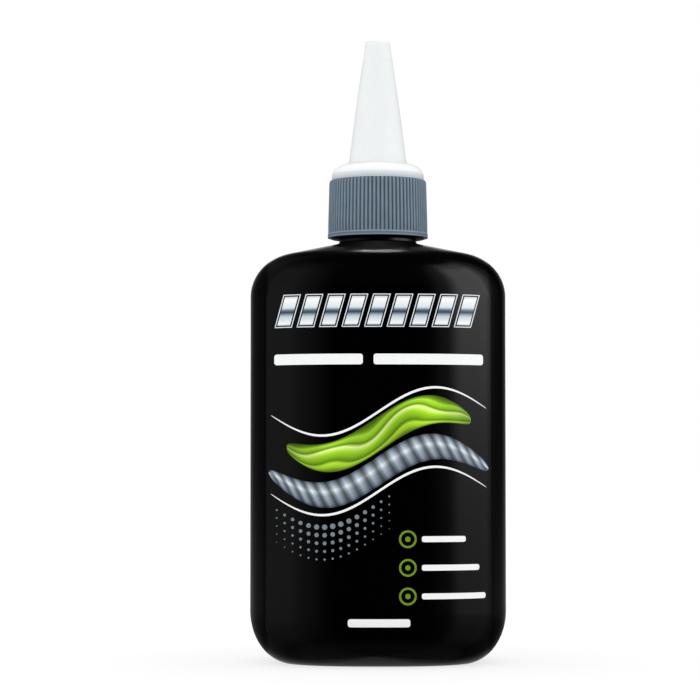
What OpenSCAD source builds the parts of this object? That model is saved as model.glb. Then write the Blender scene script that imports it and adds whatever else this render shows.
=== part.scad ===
// Squeeze bottle for chain lube: a blown oval bottle with a printed film on its front,
// a screw closure with a drip nozzle, and a cone that covers the nozzle.
// The front faces -Y, and the bottle stands on z = 0 with its neck on the Z axis.

/* [Body] */
// Width of the body across the label
body_w = 49.2; // [45:0.2:56]
// Depth of the body from front to back
body_d = 39; // [35:0.5:46]
// Exponent of the superellipse that the body has in plan
plan_power = 2.5; // [2.2:0.1:3.2]
// Height where the straight sides end and the shoulder begins
side_top = 70.2; // [60:0.2:90]
// Thickness of the blown wall
wall = 1; // [0.8:0.1:1.5]

/* [Shoulder] */
// How far the shoulder's corner reaches in from the side
shoulder_in = 8.9; // [7:0.1:10.5]
// How high the shoulder's corner would rise if it turned all the way to level
shoulder_up = 8.4; // [6:0.1:11]
// Slope of the top of the shoulder in degrees
shoulder_slope = 12.2; // [8:0.1:18]

/* [Foot] */
// How far the foot's corner reaches in from the side
foot_in = 8; // [6:0.1:9.5]
// How high the foot's corner reaches
foot_up = 10; // [8.5:0.1:13]
// Height of the hollow under the bottle
push_up = 1.8; // [1:0.1:3]

/* [Neck] */
// Radius of the bore
bore_r = 5.2; // [4.8:0.05:5.4]
// Radius of the neck at the root of its thread
root_r = 6.75; // [6.6:0.05:7]
// Radius of the neck below the bead
neck_r = 7.5; // [7.2:0.1:8.2]
// Height of the neck between the shoulder and the bead
neck_gap = 1; // [0.8:0.1:2]
// Width of the fillet at the foot of the neck
neck_flare = 0.9; // [0.6:0.1:1.4]
// Height of the fillet at the foot of the neck
neck_flare_up = 0.4; // [0.3:0.05:0.6]
// Radius of the bead
bead_r = 9.05; // [8.8:0.05:9.4]
// Thickness of the bead
bead_t = 0.3; // [0.3:0.1:0.8]
// Height of the neck above the bead
finish_h = 10.3; // [9.5:0.1:12]

/* [Thread] */
// Rise of the thread in one turn
pitch = 3; // [2.8:0.1:3.4]
// Number of turns on the neck and on the cap
turns = 1.75; // [1.25:0.25:2]
// Height of the neck's thread above its root
thread_h = 0.65; // [0.5:0.05:0.75]
// Width of a thread at its root
thread_w = 1.3; // [1:0.05:1.35]
// Width of a thread at its crest
crest_w = 0.7; // [0.5:0.05:0.8]
// Radial clearance between a crest and the wall that it faces
thread_play = 0.22; // [0.15:0.01:0.3]

/* [Grip sleeve] */
// Radius of the sleeve at its lower edge
sleeve_low_r = 9.73; // [9.6:0.01:10.2]
// Radius of the sleeve at its upper edge
sleeve_top_r = 9.42; // [9.4:0.01:9.7]
// Number of grooves round the sleeve
groove_n = 76; // [48:1:90]
// Depth of a groove
groove_d = 0.34; // [0.15:0.01:0.4]
// Width of a groove at the surface
groove_w = 0.42; // [0.25:0.01:0.48]
// Height of the plain band under the grooves
band_h = 0.85; // [0.5:0.05:2]

/* [Spout cap] */
// Thickness of the threaded skirt
skirt_t = 0.85; // [0.7:0.05:0.9]
// Radius of the disc that shows above the sleeve
disc_r = 8.97; // [8.8:0.01:9.2]
// Height of the disc's upright edge
disc_h = 1.4; // [1:0.1:2.5]
// Rise of the dome from the disc to the cone's seat
dome_h = 1.65; // [1.2:0.05:3]
// Thickness of the seal under the disc
seal_t = 0.9; // [0.6:0.1:1.2]
// How far the plug reaches into the bore
plug_h = 3; // [2:0.1:4]
// Thickness of the plug's wall
plug_t = 0.8; // [0.6:0.05:1]
// Radius of the channel at the foot of the nozzle
channel_r = 3.4; // [2.6:0.1:3.6]
// Radius of the hole at the nozzle's tip
orifice_r = 0.6; // [0.5:0.05:0.8]
// Length of the straight hole at the nozzle's tip
orifice_h = 3.4; // [3:0.1:5]

/* [Tip cover] */
// Height of the cone
cover_h = 24; // [20:0.5:34]
// Radius of the cone above its lip
cover_low_r = 5.62; // [5.4:0.01:6]
// Radius of the cone at its tip
cover_top_r = 2.3; // [2.1:0.05:3]
// How far the cone's side bulges
cover_belly = 0.12; // [0:0.01:0.3]
// Wall of the cone
cover_t = 0.75; // [0.6:0.05:0.9]
// Thickness of the cone's closed tip
tip_t = 1.2; // [0.8:0.1:2]
// Radius of the lip at the cone's lower edge
lip_r = 5.9; // [5.75:0.01:6.2]
// Height of the lip
lip_h = 0.5; // [0.3:0.1:1]
// Length of the pin that closes the nozzle
pin_h = 2.6; // [1.5:0.1:3]

/* [Label] */
// Width of the film, measured straight across
label_w = 42.4; // [30:0.2:43]
// Height of the film's lower edge
label_low = 5.6; // [5.2:0.1:9]
// How far the film reaches past the straight sides onto the shoulder
label_over = 1.2; // [0:0.1:1.6]
// Radius of the film's corners
label_corner = 2; // [1:0.5:5]
// Thickness of the film
film_t = 0.1; // [0.08:0.01:0.2]
// Thickness of the ink
ink_t = 0.05; // [0.03:0.01:0.1]

/* [Print] */
// Number of slanted bars across the top of the label
bar_n = 9; // [5:1:12]
// Height of the slanted bars
bar_h = 6.2; // [3:0.1:8]
// Height of the middle of the wave
wave_z = 40; // [36:0.5:44]
// How far the wave swings up and down
wave_swing = 4.5; // [0:0.5:6]
// Radius of the small rings
ring_r = 1.65; // [1:0.05:2]
// Distance from one small ring to the next
ring_step = 5.3; // [4.5:0.1:6]

/* [Hidden] */
$fn = 96;
// Clearances: between seated faces, round the plug, and between fixed rings
seat_gap = 0.05;
plug_play = 0.12;
ring_play = 0.02;
stem_play = 0.3;
pin_play = 0.15;
// How far the foot dips below the floor before it is cut flat
foot_sink = 0.15;
// Width of the flat that joins the foot's corner to the hollow
foot_ring = 1.4;
// Height of the upright step under the fillet of the neck
neck_step = 0.05;
// How deep a thread's root is sunk in its wall
thread_sink = 0.2;
// How far the sleeve's upper edge is rounded in and down
sleeve_round_in = 0.36;
sleeve_round_down = 0.55;
sleeve_edge = 0.15;
// Lean and edge rounding of the disc, and rounding of the cone's tip
disc_lean = 0.08;
disc_round = 0.5;
lip_round = 0.3;
film_gap = 0.02;
ink_gap = 0.01;
// Points round the bottle, steps of a corner and segments in a turn of thread
outer_n = 64;
inner_n = 40;
thread_n = 24;
// Columns of the bottle's surface that the film covers on each side of the middle
film_columns = 12;
// How far a tool reaches past what it cuts
past = 1;
// Ribbons along the wave: lower edge and upper edge from the wave's middle, and distance from the film's sides
lime_ribbon = [0.4, 7, 4];
silver_ribbon = [-6, -0.4, 0.6];
white_ribbons = [[7.6, 8.1, 1], [-7.2, -6.7, 1]];
// Share of its thickness that a ribbon keeps at its ends
ribbon_end = 0.12;
// Width of the ink line of the small rings
ring_line = 0.4;
// Distances of the three word bars from the film's right side
word_margins = [1.2, 2.4, 5];
// Half-width and height of the bar near the foot
note_half = 5.8;
note_h = 1.5;

half_w = body_w / 2;
half_d = body_d / 2;
neck_root_r = neck_r + neck_flare;
hollow_top_r = bore_r + 0.6;
shoulder_top = side_top + shoulder_rise(0, neck_root_r);
bead_z = shoulder_top + neck_gap;
bead_top = bead_z + bead_t;
lip_z = bead_top + finish_h;
deck_z = lip_z + seal_t;
sleeve_z = bead_top + seat_gap;
disc_top = deck_z + disc_h;
seat_z = disc_top + dome_h;
cover_z = seat_z + seat_gap;
cover_top = cover_z + cover_h;
cover_inside_top = cover_top - tip_t;
stem_top = cover_inside_top - 0.4;
skirt_in = root_r + thread_h + thread_play;
skirt_out = skirt_in + skirt_t;
skirt_z = sleeve_z + 0.2;
plug_out = bore_r - plug_play;
plug_in = plug_out - plug_t;
cap_thread_h = thread_h;
neck_thread_z = lip_z - 1.6 - turns * pitch;
cap_thread_z = neck_thread_z - pitch / 2;
label_top = side_top + label_over;

// One point of the body's plan, at angle t, for half-width a and half-depth b
function plan(a, b, t) = [
    a * sign(cos(t)) * pow(abs(cos(t)), 2 / plan_power),
    b * sign(sin(t)) * pow(abs(sin(t)), 2 / plan_power)
];

// Angle at which the shoulder's corner meets its slope, for a surface inset by w
function corner_end(w) = atan2(shoulder_up - w, (shoulder_in - w) * tan(shoulder_slope));
function corner_in(w, t) = (shoulder_in - w) * (1 - cos(t));
function corner_up(w, t) = (shoulder_up - w) * sin(t);
function neck_in(w, r) = half_w - w - r;
function shoulder_rise(w, r) = let (t = corner_end(w))
    corner_up(w, t) + (neck_in(w, r) - corner_in(w, t)) * tan(shoulder_slope);

// Rings of the body from the hollow up to the neck, inset by w, ending in a circle of radius r.
// Each ring is its inset, its height, its share of the neck's circle and its scale.
function foot_rings(w) = [
    for (t = [90:-15:0])
        [(foot_in - w) * (1 - cos(t)), foot_up - (foot_up + foot_sink - w) * sin(t), 0, 1]
];
function hollow_rings(w) = [
    for (s = [0.25:0.25:1])
        [foot_in + foot_ring, w - foot_sink + (push_up + foot_sink) * (1 - s * s), 0, s]
];
function corner_rings(w, r) = let (end = corner_end(w)) [
    for (k = [0:6])
        let (t = end * k / 6)
            [0, side_top + corner_up(w, t), corner_in(w, t) / neck_in(w, r), 1]
];
function slope_rings(w, r) = let (end = corner_end(w), from = corner_in(w, end)) [
    for (k = [1:3])
        let (run = (neck_in(w, r) - from) * k / 3)
            [0, side_top + corner_up(w, end) + run * tan(shoulder_slope), (from + run) / neck_in(w, r), 1]
];
function body_rings(w, r) =
    concat(hollow_rings(w), foot_rings(w), corner_rings(w, r), slope_rings(w, r));

function ring_point(ring, t, w, r) =
    let (p = plan(half_w - w - ring[0], half_d - w - ring[0], t), m = ring[2])
        [
            ring[3] * ((1 - m) * p[0] + m * r * cos(t)),
            ring[3] * ((1 - m) * p[1] + m * r * sin(t)),
            ring[1]
        ];

// Closed body through all the rings, n points to a ring
module loft(w, r, n) {
    rings = body_rings(w, r);
    last = len(rings) - 1;
    polyhedron(
        points = [for (ring = rings) for (i = [0:n - 1]) ring_point(ring, 360 * i / n, w, r)],
        faces = concat(
            [[for (i = [0:n - 1]) i]],
            [for (j = [0:last - 1]) for (i = [0:n - 1])
                [j * n + (i + 1) % n, j * n + i, (j + 1) * n + i]],
            [for (j = [0:last - 1]) for (i = [0:n - 1])
                [j * n + (i + 1) % n, (j + 1) * n + i, (j + 1) * n + (i + 1) % n]],
            [[for (i = [n - 1:-1:0]) last * n + i]]
        )
    );
}

// Screw thread from radius r0 to radius r1, starting at height z0, with run-outs at both ends
module thread(r0, r1, z0) {
    count = ceil(turns * thread_n);
    runout = thread_n / 6;
    points = [
        for (i = [0:count])
            let (
                t = 360 * turns * i / count,
                z = z0 + pitch * turns * i / count,
                grow = min(1, i / runout, (count - i) / runout),
                r = r0 + (r1 - r0) * max(0.1, grow)
            )
                for (p = [[r0, -thread_w / 2], [r, -crest_w / 2], [r, crest_w / 2], [r0, thread_w / 2]])
                    [p[0] * cos(t), p[0] * sin(t), z + p[1]]
    ];
    sides = [
        for (i = [0:count - 1]) for (k = [0:3])
            let (a = 4 * i + k, b = 4 * i + (k + 1) % 4)
                each [[a, b, b + 4], [a, b + 4, a + 4]]
    ];
    faces = concat([[3, 2, 1, 0]], sides, [[for (k = [0:3]) 4 * count + k]]);
    polyhedron(
        points = points,
        faces = r1 > r0 ? faces : [for (f = faces) [for (k = [len(f) - 1:-1:0]) f[k]]]
    );
}

// Outline of the neck from its root in the shoulder to its lip
module neck_profile() {
    chamfer = 0.3;
    polygon(concat(
        [[0, shoulder_top - 1.2], [neck_root_r + 0.6, shoulder_top - 1.2]],
        [[neck_root_r + 0.6, shoulder_top - 0.4]],
        [for (t = [0:15:90])
            [neck_r + neck_flare * (1 - sin(t)), shoulder_top + neck_step + neck_flare_up * (1 - cos(t))]],
        [
            [neck_r, bead_z],
            [bead_r, bead_z + bead_t / 2],
            [bead_r, bead_top],
            [root_r, bead_top],
            [root_r, lip_z - chamfer],
            [root_r - chamfer, lip_z],
            [0, lip_z]
        ]
    ));
}

module bottle() {
    color("#141517")
        difference() {
            union() {
                loft(0, neck_root_r, outer_n);
                rotate_extrude() neck_profile();
                thread(root_r - thread_sink, root_r + thread_h, neck_thread_z);
            }
            loft(wall, hollow_top_r, inner_n);
            translate([0, 0, side_top])
                cylinder(r = bore_r, h = lip_z);
            translate([-body_w, -body_d, -2])
                cube([2 * body_w, 2 * body_d, 2]);
        }
}

// Sheet over the front of the body, from distance d0 to distance d1 off its surface
module front_sheet(d0, d1) {
    columns = 2 * film_columns;
    // The foot's rings at 30, 15 and 0 degrees and the first two of the shoulder
    first = 8;
    count = 5;
    wide = columns + 1;
    layer = count * wide;
    points = [
        for (d = [d1, d0])
            let (rings = body_rings(-d, neck_root_r))
                for (j = [first:first + count - 1])
                    for (i = [-film_columns:film_columns])
                        ring_point(rings[j], 270 + 360 * i / outer_n, -d, neck_root_r)
    ];
    skin = [
        for (j = [0:count - 2]) for (i = [0:columns - 1])
            let (a = j * wide + i, b = a + 1, c = a + wide, d = c + 1)
                each [[a, c, b], [c, d, b]]
    ];
    back = [for (f = skin) [f[2] + layer, f[1] + layer, f[0] + layer]];
    low = [for (i = [0:columns - 1]) each strip(i, i + 1, layer)];
    high = [for (i = [0:columns - 1]) let (a = (count - 1) * wide + i) each strip(a + 1, a, layer)];
    left = [for (j = [0:count - 2]) each strip((j + 1) * wide, j * wide, layer)];
    right = [for (j = [0:count - 2]) let (a = j * wide + columns) each strip(a, a + wide, layer)];
    polyhedron(points = points, faces = concat(skin, back, low, high, left, right));
}
function strip(a, b, layer) = [[a, b, b + layer], [a, b + layer, a + layer]];

// What of a flat drawing, seen from the front, lies on the body between d0 and d1
module on_front(d0, d1) {
    intersection() {
        front_sheet(d0, d1);
        rotate([90, 0, 0])
            linear_extrude(body_d)
                children();
    }
}

module ink() {
    on_front(film_gap + film_t + ink_gap, film_gap + film_t + ink_gap + ink_t)
        children();
}

module rounded_box(x0, z0, x1, z1, r) {
    translate([x0 + r, z0])
        square([x1 - x0 - 2 * r, z1 - z0]);
    translate([x0, z0 + r])
        square([x1 - x0, z1 - z0 - 2 * r]);
    for (x = [x0 + r, x1 - r], z = [z0 + r, z1 - r])
        translate([x, z])
            circle(r = r, $fn = 32);
}

module front_label() {
    color("#0d0e10")
        on_front(film_gap, film_gap + film_t)
            rounded_box(-label_w / 2, label_low, label_w / 2, label_top, label_corner);
}

// Places of the print, measured from the film's own edges and middle
print_w = label_w - 3.2;
bar_z = label_top - 1.6 - bar_h;
line_z = bar_z - 7;
line_h = 2;
ring_x = 5.35;
ring_low = label_low + 7.9;
word_x = ring_x + 2.6;
word_h = 1.1;
note_z = label_low + 2.2;

module slanted_bar(x, w) {
    slant = 0.28;
    polygon([[x, bar_z], [x + w, bar_z], [x + w + slant * bar_h, bar_z + bar_h], [x + slant * bar_h, bar_z + bar_h]]);
}

function wave(x) = wave_z + wave_swing * sin(360 * x / label_w);

// Ribbon that follows the wave between two offsets, thinner at its ends
module ribbon(edges) {
    n = 24;
    reach = label_w / 2 - edges[2];
    middle = (edges[0] + edges[1]) / 2;
    half = (edges[1] - edges[0]) / 2;
    xs = [for (i = [0:n]) -reach + 2 * reach * i / n];
    function half_at(x) = half * (ribbon_end + (1 - ribbon_end) * sqrt(max(0, cos(90 * x / reach))));
    polygon(concat(
        [for (x = xs) [x, wave(x) + middle - half_at(x)]],
        [for (i = [n:-1:0]) let (x = xs[i]) [x, wave(x) + middle + half_at(x)]]
    ));
}

module label_print_white() {
    color("#f2f4f4")
        ink() {
            rounded_box(-print_w / 2, line_z, -3, line_z + line_h, 0.5);
            rounded_box(-1, line_z, print_w / 2, line_z + line_h, 0.5);
            for (edges = white_ribbons)
                ribbon(edges);
            for (k = [0:2])
                rounded_box(word_x, ring_low + k * ring_step - word_h / 2,
                    label_w / 2 - word_margins[k], ring_low + k * ring_step + word_h / 2, 0.4);
            rounded_box(-note_half, note_z, note_half, note_z + note_h, 0.5);
        }
}

module label_print_silver() {
    bar_step = (print_w - 1.4) / bar_n;
    color("#b9c0c4")
        ink() {
            for (k = [0:bar_n - 1])
                slanted_bar(-print_w / 2 + k * bar_step, bar_step - 0.9);
            ribbon(silver_ribbon);
        }
}

module label_print_lime() {
    color("#9ad21c")
        ink() {
            ribbon(lime_ribbon);
            for (k = [0:2])
                translate([ring_x, ring_low + k * ring_step])
                    difference() {
                        circle(r = ring_r);
                        circle(r = ring_r - ring_line);
                    }
        }
}

module grip_sleeve() {
    height = deck_z - sleeve_z;
    groove_h = height - band_h + past;
    lean = atan2(sleeve_low_r - sleeve_top_r, height);
    // The upper edge is rounded by a quarter of an ellipse
    edge = [for (t = [0:18:90])
        [sleeve_top_r - sleeve_round_in * (1 - cos(t)), deck_z - sleeve_round_down * (1 - sin(t))]];
    band_r = sleeve_low_r - band_h * tan(lean);
    color("#65727b")
        difference() {
            rotate_extrude()
                polygon(concat(
                    [
                        [skirt_out + ring_play, sleeve_z],
                        [sleeve_low_r - sleeve_edge, sleeve_z],
                        [sleeve_low_r, sleeve_z + sleeve_edge]
                    ],
                    edge,
                    [[skirt_out + ring_play, deck_z]]
                ));
            for (k = [0:groove_n - 1])
                rotate([0, 0, 360 * k / groove_n])
                    translate([band_r, 0, sleeve_z + band_h])
                        rotate([0, -lean, 0])
                            linear_extrude(groove_h)
                                polygon([
                                    [0.2, groove_w * 0.6],
                                    [-groove_d, groove_w * 0.2],
                                    [-groove_d, -groove_w * 0.2],
                                    [0.2, -groove_w * 0.6]
                                ]);
        }
}

// Outer radius of the cone at height z
function cone_r(z) = let (u = (z - cover_z) / cover_h)
    cover_low_r + (cover_top_r - cover_low_r) * u + cover_belly * sin(180 * u);

module spout_cap() {
    stem_low_r = cone_r(cover_z) - cover_t - stem_play;
    stem_top_r = cone_r(stem_top) - cover_t - stem_play;
    seat_r = lip_r + 0.1;
    // The disc's side leans in a little and ends in a round edge
    edge = [for (t = [0:22.5:67.5])
        [disc_r - disc_lean - disc_round * (1 - cos(t)), disc_top - disc_round * (1 - sin(t))]];
    // The dome rises in an arc that flattens towards the cone's seat
    dome = [for (t = [0:15:90])
        [seat_r + (disc_r - disc_lean - disc_round - seat_r) * cos(t), disc_top + dome_h * sin(t)]];
    color("#f3f4f3")
        union() {
            rotate_extrude()
                polygon(concat(
                    [
                        [plug_in, lip_z - plug_h],
                        [plug_out, lip_z - plug_h],
                        [plug_out, deck_z],
                        [skirt_in, deck_z],
                        [skirt_in, skirt_z],
                        [skirt_out, skirt_z],
                        [skirt_out, deck_z],
                        [disc_r, deck_z]
                    ],
                    edge,
                    dome,
                    [
                        [stem_low_r, seat_z],
                        [stem_top_r, stem_top],
                        [orifice_r, stem_top],
                        [orifice_r, stem_top - orifice_h],
                        [channel_r, seat_z],
                        [plug_in, deck_z]
                    ]
                ));
            thread(skirt_in + thread_sink, skirt_in - cap_thread_h, cap_thread_z);
        }
}

module tip_cover() {
    steps = 6;
    inside_z = cover_z + lip_h;
    side = [for (k = [0:steps]) let (z = inside_z + (cover_top - lip_round - inside_z) * k / steps) [cone_r(z), z]];
    tip_r = cone_r(cover_top - lip_round);
    tip = [for (t = [30:30:90]) [tip_r - lip_round * (1 - cos(t)), cover_top - lip_round * (1 - sin(t))]];
    hollow = [for (k = [steps:-1:0]) let (z = cover_z + (cover_inside_top - cover_z) * k / steps) [cone_r(z) - cover_t, z]];
    pin_r = orifice_r - pin_play;
    color("#eef0ef")
        rotate_extrude()
            polygon(concat(
                [[lip_r - 0.1, cover_z], [lip_r, cover_z + 0.1], [lip_r, cover_z + lip_h * 0.6]],
                side,
                tip,
                [[0, cover_top], [0, cover_inside_top - pin_h], [pin_r, cover_inside_top - pin_h]],
                [[pin_r, cover_inside_top]],
                hollow
            ));
}

module seal_ring() {
    color("#d8d6cc")
        difference() {
            translate([0, 0, lip_z + ring_play])
                cylinder(r = skirt_in - 0.15, h = seal_t - 2 * ring_play);
            translate([0, 0, lip_z - past])
                cylinder(r = plug_out + plug_play, h = seal_t + 2 * past);
        }
}

bottle();
front_label();
label_print_white();
label_print_silver();
label_print_lime();
grip_sleeve();
spout_cap();
tip_cover();
seal_ring();
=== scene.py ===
"""Looks of a chain lube bottle: blown body, printed film, screw closure and a small studio.

Every length is in metres, in the frame of the packed model: +Z up the neck, the printed front facing -Y.
"""

import math

import bmesh
import bpy
import numpy as np
from bpy.props import FloatProperty, FloatVectorProperty, IntProperty, PointerProperty
from mathutils import Matrix, Vector


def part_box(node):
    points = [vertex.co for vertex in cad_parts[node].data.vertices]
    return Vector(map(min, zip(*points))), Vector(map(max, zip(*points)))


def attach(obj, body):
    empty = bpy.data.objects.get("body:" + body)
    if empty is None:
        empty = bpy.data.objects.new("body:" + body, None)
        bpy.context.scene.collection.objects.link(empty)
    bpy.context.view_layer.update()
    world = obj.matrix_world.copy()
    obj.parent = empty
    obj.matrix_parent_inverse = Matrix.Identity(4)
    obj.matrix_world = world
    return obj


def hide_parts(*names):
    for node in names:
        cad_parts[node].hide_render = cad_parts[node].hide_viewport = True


bl_info = {
    "name": "Chain Lube Bottle",
    "version": (1, 0, 0),
    "blender": (4, 5, 0),
    "location": "View3D > Sidebar > Bottle",
    "description": "Builds a squeeze bottle with its printed film, its screw closure and a small studio",
    "category": "Add Mesh",
}

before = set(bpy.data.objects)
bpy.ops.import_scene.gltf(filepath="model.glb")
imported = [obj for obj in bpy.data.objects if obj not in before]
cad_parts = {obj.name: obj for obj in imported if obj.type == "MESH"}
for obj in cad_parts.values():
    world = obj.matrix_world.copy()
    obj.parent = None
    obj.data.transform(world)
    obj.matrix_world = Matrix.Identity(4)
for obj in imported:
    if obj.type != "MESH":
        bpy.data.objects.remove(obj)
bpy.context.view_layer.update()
MM = 0.001


def low(node, axis):
    """Least value of a solid along an axis"""
    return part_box(node)[0][axis]


def high(node, axis):
    """Greatest value of a solid along an axis"""
    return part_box(node)[1][axis]


# Heights and radii that the packed solids give
LIP_Z = high("bottle", 2)
SLEEVE_Z = low("grip_sleeve", 2)
DECK_Z = high("grip_sleeve", 2)
COVER_Z = low("tip_cover", 2)
COVER_TOP = high("tip_cover", 2)
SLEEVE_LOW_R = high("grip_sleeve", 0)
LIP_R = high("tip_cover", 0)


def length(name, description, size):
    """A size that the user may change, with its default in millimetres"""
    return FloatProperty(
        name=name,
        description=description,
        default=size * MM,
        min=0,
        subtype="DISTANCE",
        unit="LENGTH",
        precision=5,
    )


def angle_of(name, description, degrees):
    """An angle that the user may change, with its default in degrees"""
    default = math.radians(degrees)
    return FloatProperty(name=name, description=description, default=default, unit="ROTATION")


def number(name, description, default, **limits):
    """A plain number that the user may change"""
    return FloatProperty(name=name, description=description, default=default, **limits)


def whole_number(name, description, default, **limits):
    """A whole number that the user may change"""
    return IntProperty(name=name, description=description, default=default, **limits)


def colour(name, description, default):
    """A colour that the user may change"""
    return FloatVectorProperty(
        name=name, description=description, default=default, subtype="COLOR", min=0, max=1
    )


def share(name, description, default):
    """A number from 0 to 1 that the user may change"""
    return number(name, description, default, min=0, max=1, subtype="FACTOR")


class BodySizes(bpy.types.PropertyGroup):
    """Sizes and colour of the blown bottle"""

    half_w: length("Half width", "Half the width of the body across the label", high("bottle", 0) / MM)
    half_d: length("Half depth", "Half the depth of the body", high("bottle", 1) / MM)
    plan_power: number("Plan exponent", "Exponent of the body's superellipse", 2.5)
    side_top: length("Side top", "Height where the straight sides end", 70.2)
    wall: length("Wall", "Thickness of the blown wall", 1)
    shoulder_in: length("Shoulder in", "How far the shoulder's corner reaches in", 8.9)
    shoulder_up: length("Shoulder up", "How high the shoulder's corner would rise", 8.4)
    shoulder_slope: angle_of("Shoulder slope", "Slope of the top of the shoulder", 12.2)
    foot_in: length("Foot in", "How far the foot's corner reaches in", 8)
    foot_up: length("Foot up", "How high the foot's corner reaches", 10)
    foot_ring: length("Foot ring", "Width of the flat between the foot's corner and the hollow", 1.4)
    foot_sink: length("Foot sink", "How far the foot's curve would dip under the floor", 0.15)
    push_up: length("Push-up", "Height of the hollow under the bottle", 1.8)
    bore_r: length("Bore", "Radius of the bore", 5.2)
    root_r: length("Thread root", "Radius of the neck at the root of its thread", 6.75)
    neck_r: length("Neck", "Radius of the neck below the bead", 7.5)
    neck_gap: length("Neck gap", "Height of the neck between the shoulder and the bead", 1)
    neck_flare: length("Neck flare", "Width of the fillet at the foot of the neck", 0.9)
    flare_up: length("Flare height", "Height of the fillet at the foot of the neck", 0.4)
    bead_r: length("Bead", "Radius of the bead", 9.05)
    bead_t: length("Bead thickness", "Thickness of the bead", 0.3)
    seam_w: length("Parting line width", "Width of the mould's parting line", 0.5)
    seam_d: length("Parting line depth", "Depth of the step at the mould's parting line", 0.03)
    polish_half: length("Polish half width", "Half the width of the polished broad faces", 20.9)
    polish_soft: length("Polish edge", "Half the width of the soft edge of the polish", 0.4)
    columns: whole_number("Columns", "Points round the body", 224, min=32, max=256)
    tint: colour("Plastic", "Colour of the black plastic", (0.0004, 0.0006, 0.0005))


class ThreadSizes(bpy.types.PropertyGroup):
    """Sizes of the screw thread that the neck and the cap share"""

    pitch: length("Pitch", "Rise of the thread in one turn", 3)
    turns: number("Turns", "Number of turns", 1.75, min=0.5, max=3)
    depth: length("Height", "Height of the thread above its root", 0.65)
    root_w: length("Root width", "Width of the thread at its root", 1.3)
    crest_w: length("Crest width", "Width of the thread at its crest", 0.7)
    sink: length("Sink", "How deep the thread's root lies in its wall", 0.2)
    play: length("Play", "Clearance between a crest and the wall that it faces", 0.22)
    lead_in: length("Lead-in", "Distance from the lip to the end of the thread", 1.6)
    row: length("Row", "Height of one row of faces along a thread", 0.085)


class ClosureSizes(bpy.types.PropertyGroup):
    """Sizes and colours of the sleeve, the cap, the cover and the seal"""

    groove_n: whole_number("Grooves", "Number of grooves round the sleeve", 76, min=12)
    groove_d: length("Groove depth", "Depth of a groove", 0.34)
    groove_w: length("Groove width", "Width of a groove at the surface", 0.42)
    band_h: length("Band", "Height of the plain band under the grooves", 0.85)
    sleeve_top_r: length("Sleeve top", "Radius of the sleeve at its upper edge", 9.42)
    rim: length("Rim", "How far the rim at the sleeve's lower edge stands proud of the band", 0.05)
    ledge: length("Ledge", "How far the band stands proud of the ribs", 0.07)
    round_in: length("Round in", "How far the sleeve's upper edge is rounded in", 0.36)
    round_down: length("Round down", "How far the sleeve's upper edge is rounded down", 0.55)
    skirt_t: length("Skirt", "Thickness of the cap's threaded skirt", 0.85)
    disc_r: length("Disc", "Radius of the disc above the sleeve", 8.97)
    disc_h: length("Disc height", "Height of the disc's edge", 1.4)
    disc_lean: length("Disc lean", "How far the disc's edge leans in", 0.08)
    disc_round: length("Disc rounding", "Rounding of the disc's edge", 0.2)
    plug_h: length("Plug", "How far the plug reaches into the bore", 3)
    plug_t: length("Plug wall", "Thickness of the plug's wall", 0.8)
    plug_play: length("Plug play", "Clearance round the plug", 0.12)
    channel_r: length("Channel", "Radius of the channel at the foot of the nozzle", 3.4)
    orifice_r: length("Orifice", "Radius of the hole at the nozzle's tip", 0.6)
    orifice_h: length("Orifice length", "Length of the straight hole at the nozzle's tip", 3.4)
    seat_gap: length("Seat gap", "Gap between seated faces", 0.02)
    stem_play: length("Nozzle play", "Clearance between the nozzle and the cover", 0.3)
    cover_low_r: length("Cover", "Radius of the cover above its lip", 5.62)
    cover_top_r: length("Cover top", "Radius of the cover at its tip", 2.3)
    cover_belly: length("Cover belly", "How far the cover's side bulges", 0.12)
    cover_t: length("Cover wall", "Wall of the cover", 0.75)
    tip_t: length("Tip", "Thickness of the cover's closed tip", 1.2)
    tip_round: length("Tip rounding", "Rounding of the cover's tip", 0.3)
    lip_h: length("Lip", "Height of the cover's lip", 0.5)
    pin_h: length("Pin", "Length of the pin that closes the nozzle", 2.6)
    pin_play: length("Pin play", "Clearance round the pin", 0.15)
    columns: whole_number("Columns", "Points round the cap and the cover", 192, min=32, max=256)
    sleeve_tint: colour("Sleeve", "Colour of the grey sleeve", (0.152, 0.209, 0.265))
    cap_tint: colour("Cap", "Colour of the white cap", (0.965, 0.98, 0.98))
    cover_tint: colour("Cover", "Colour of the white cover", (0.855, 0.88, 0.885))
    seal_tint: colour("Seal", "Colour of the seal", (0.68, 0.66, 0.6))


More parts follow.
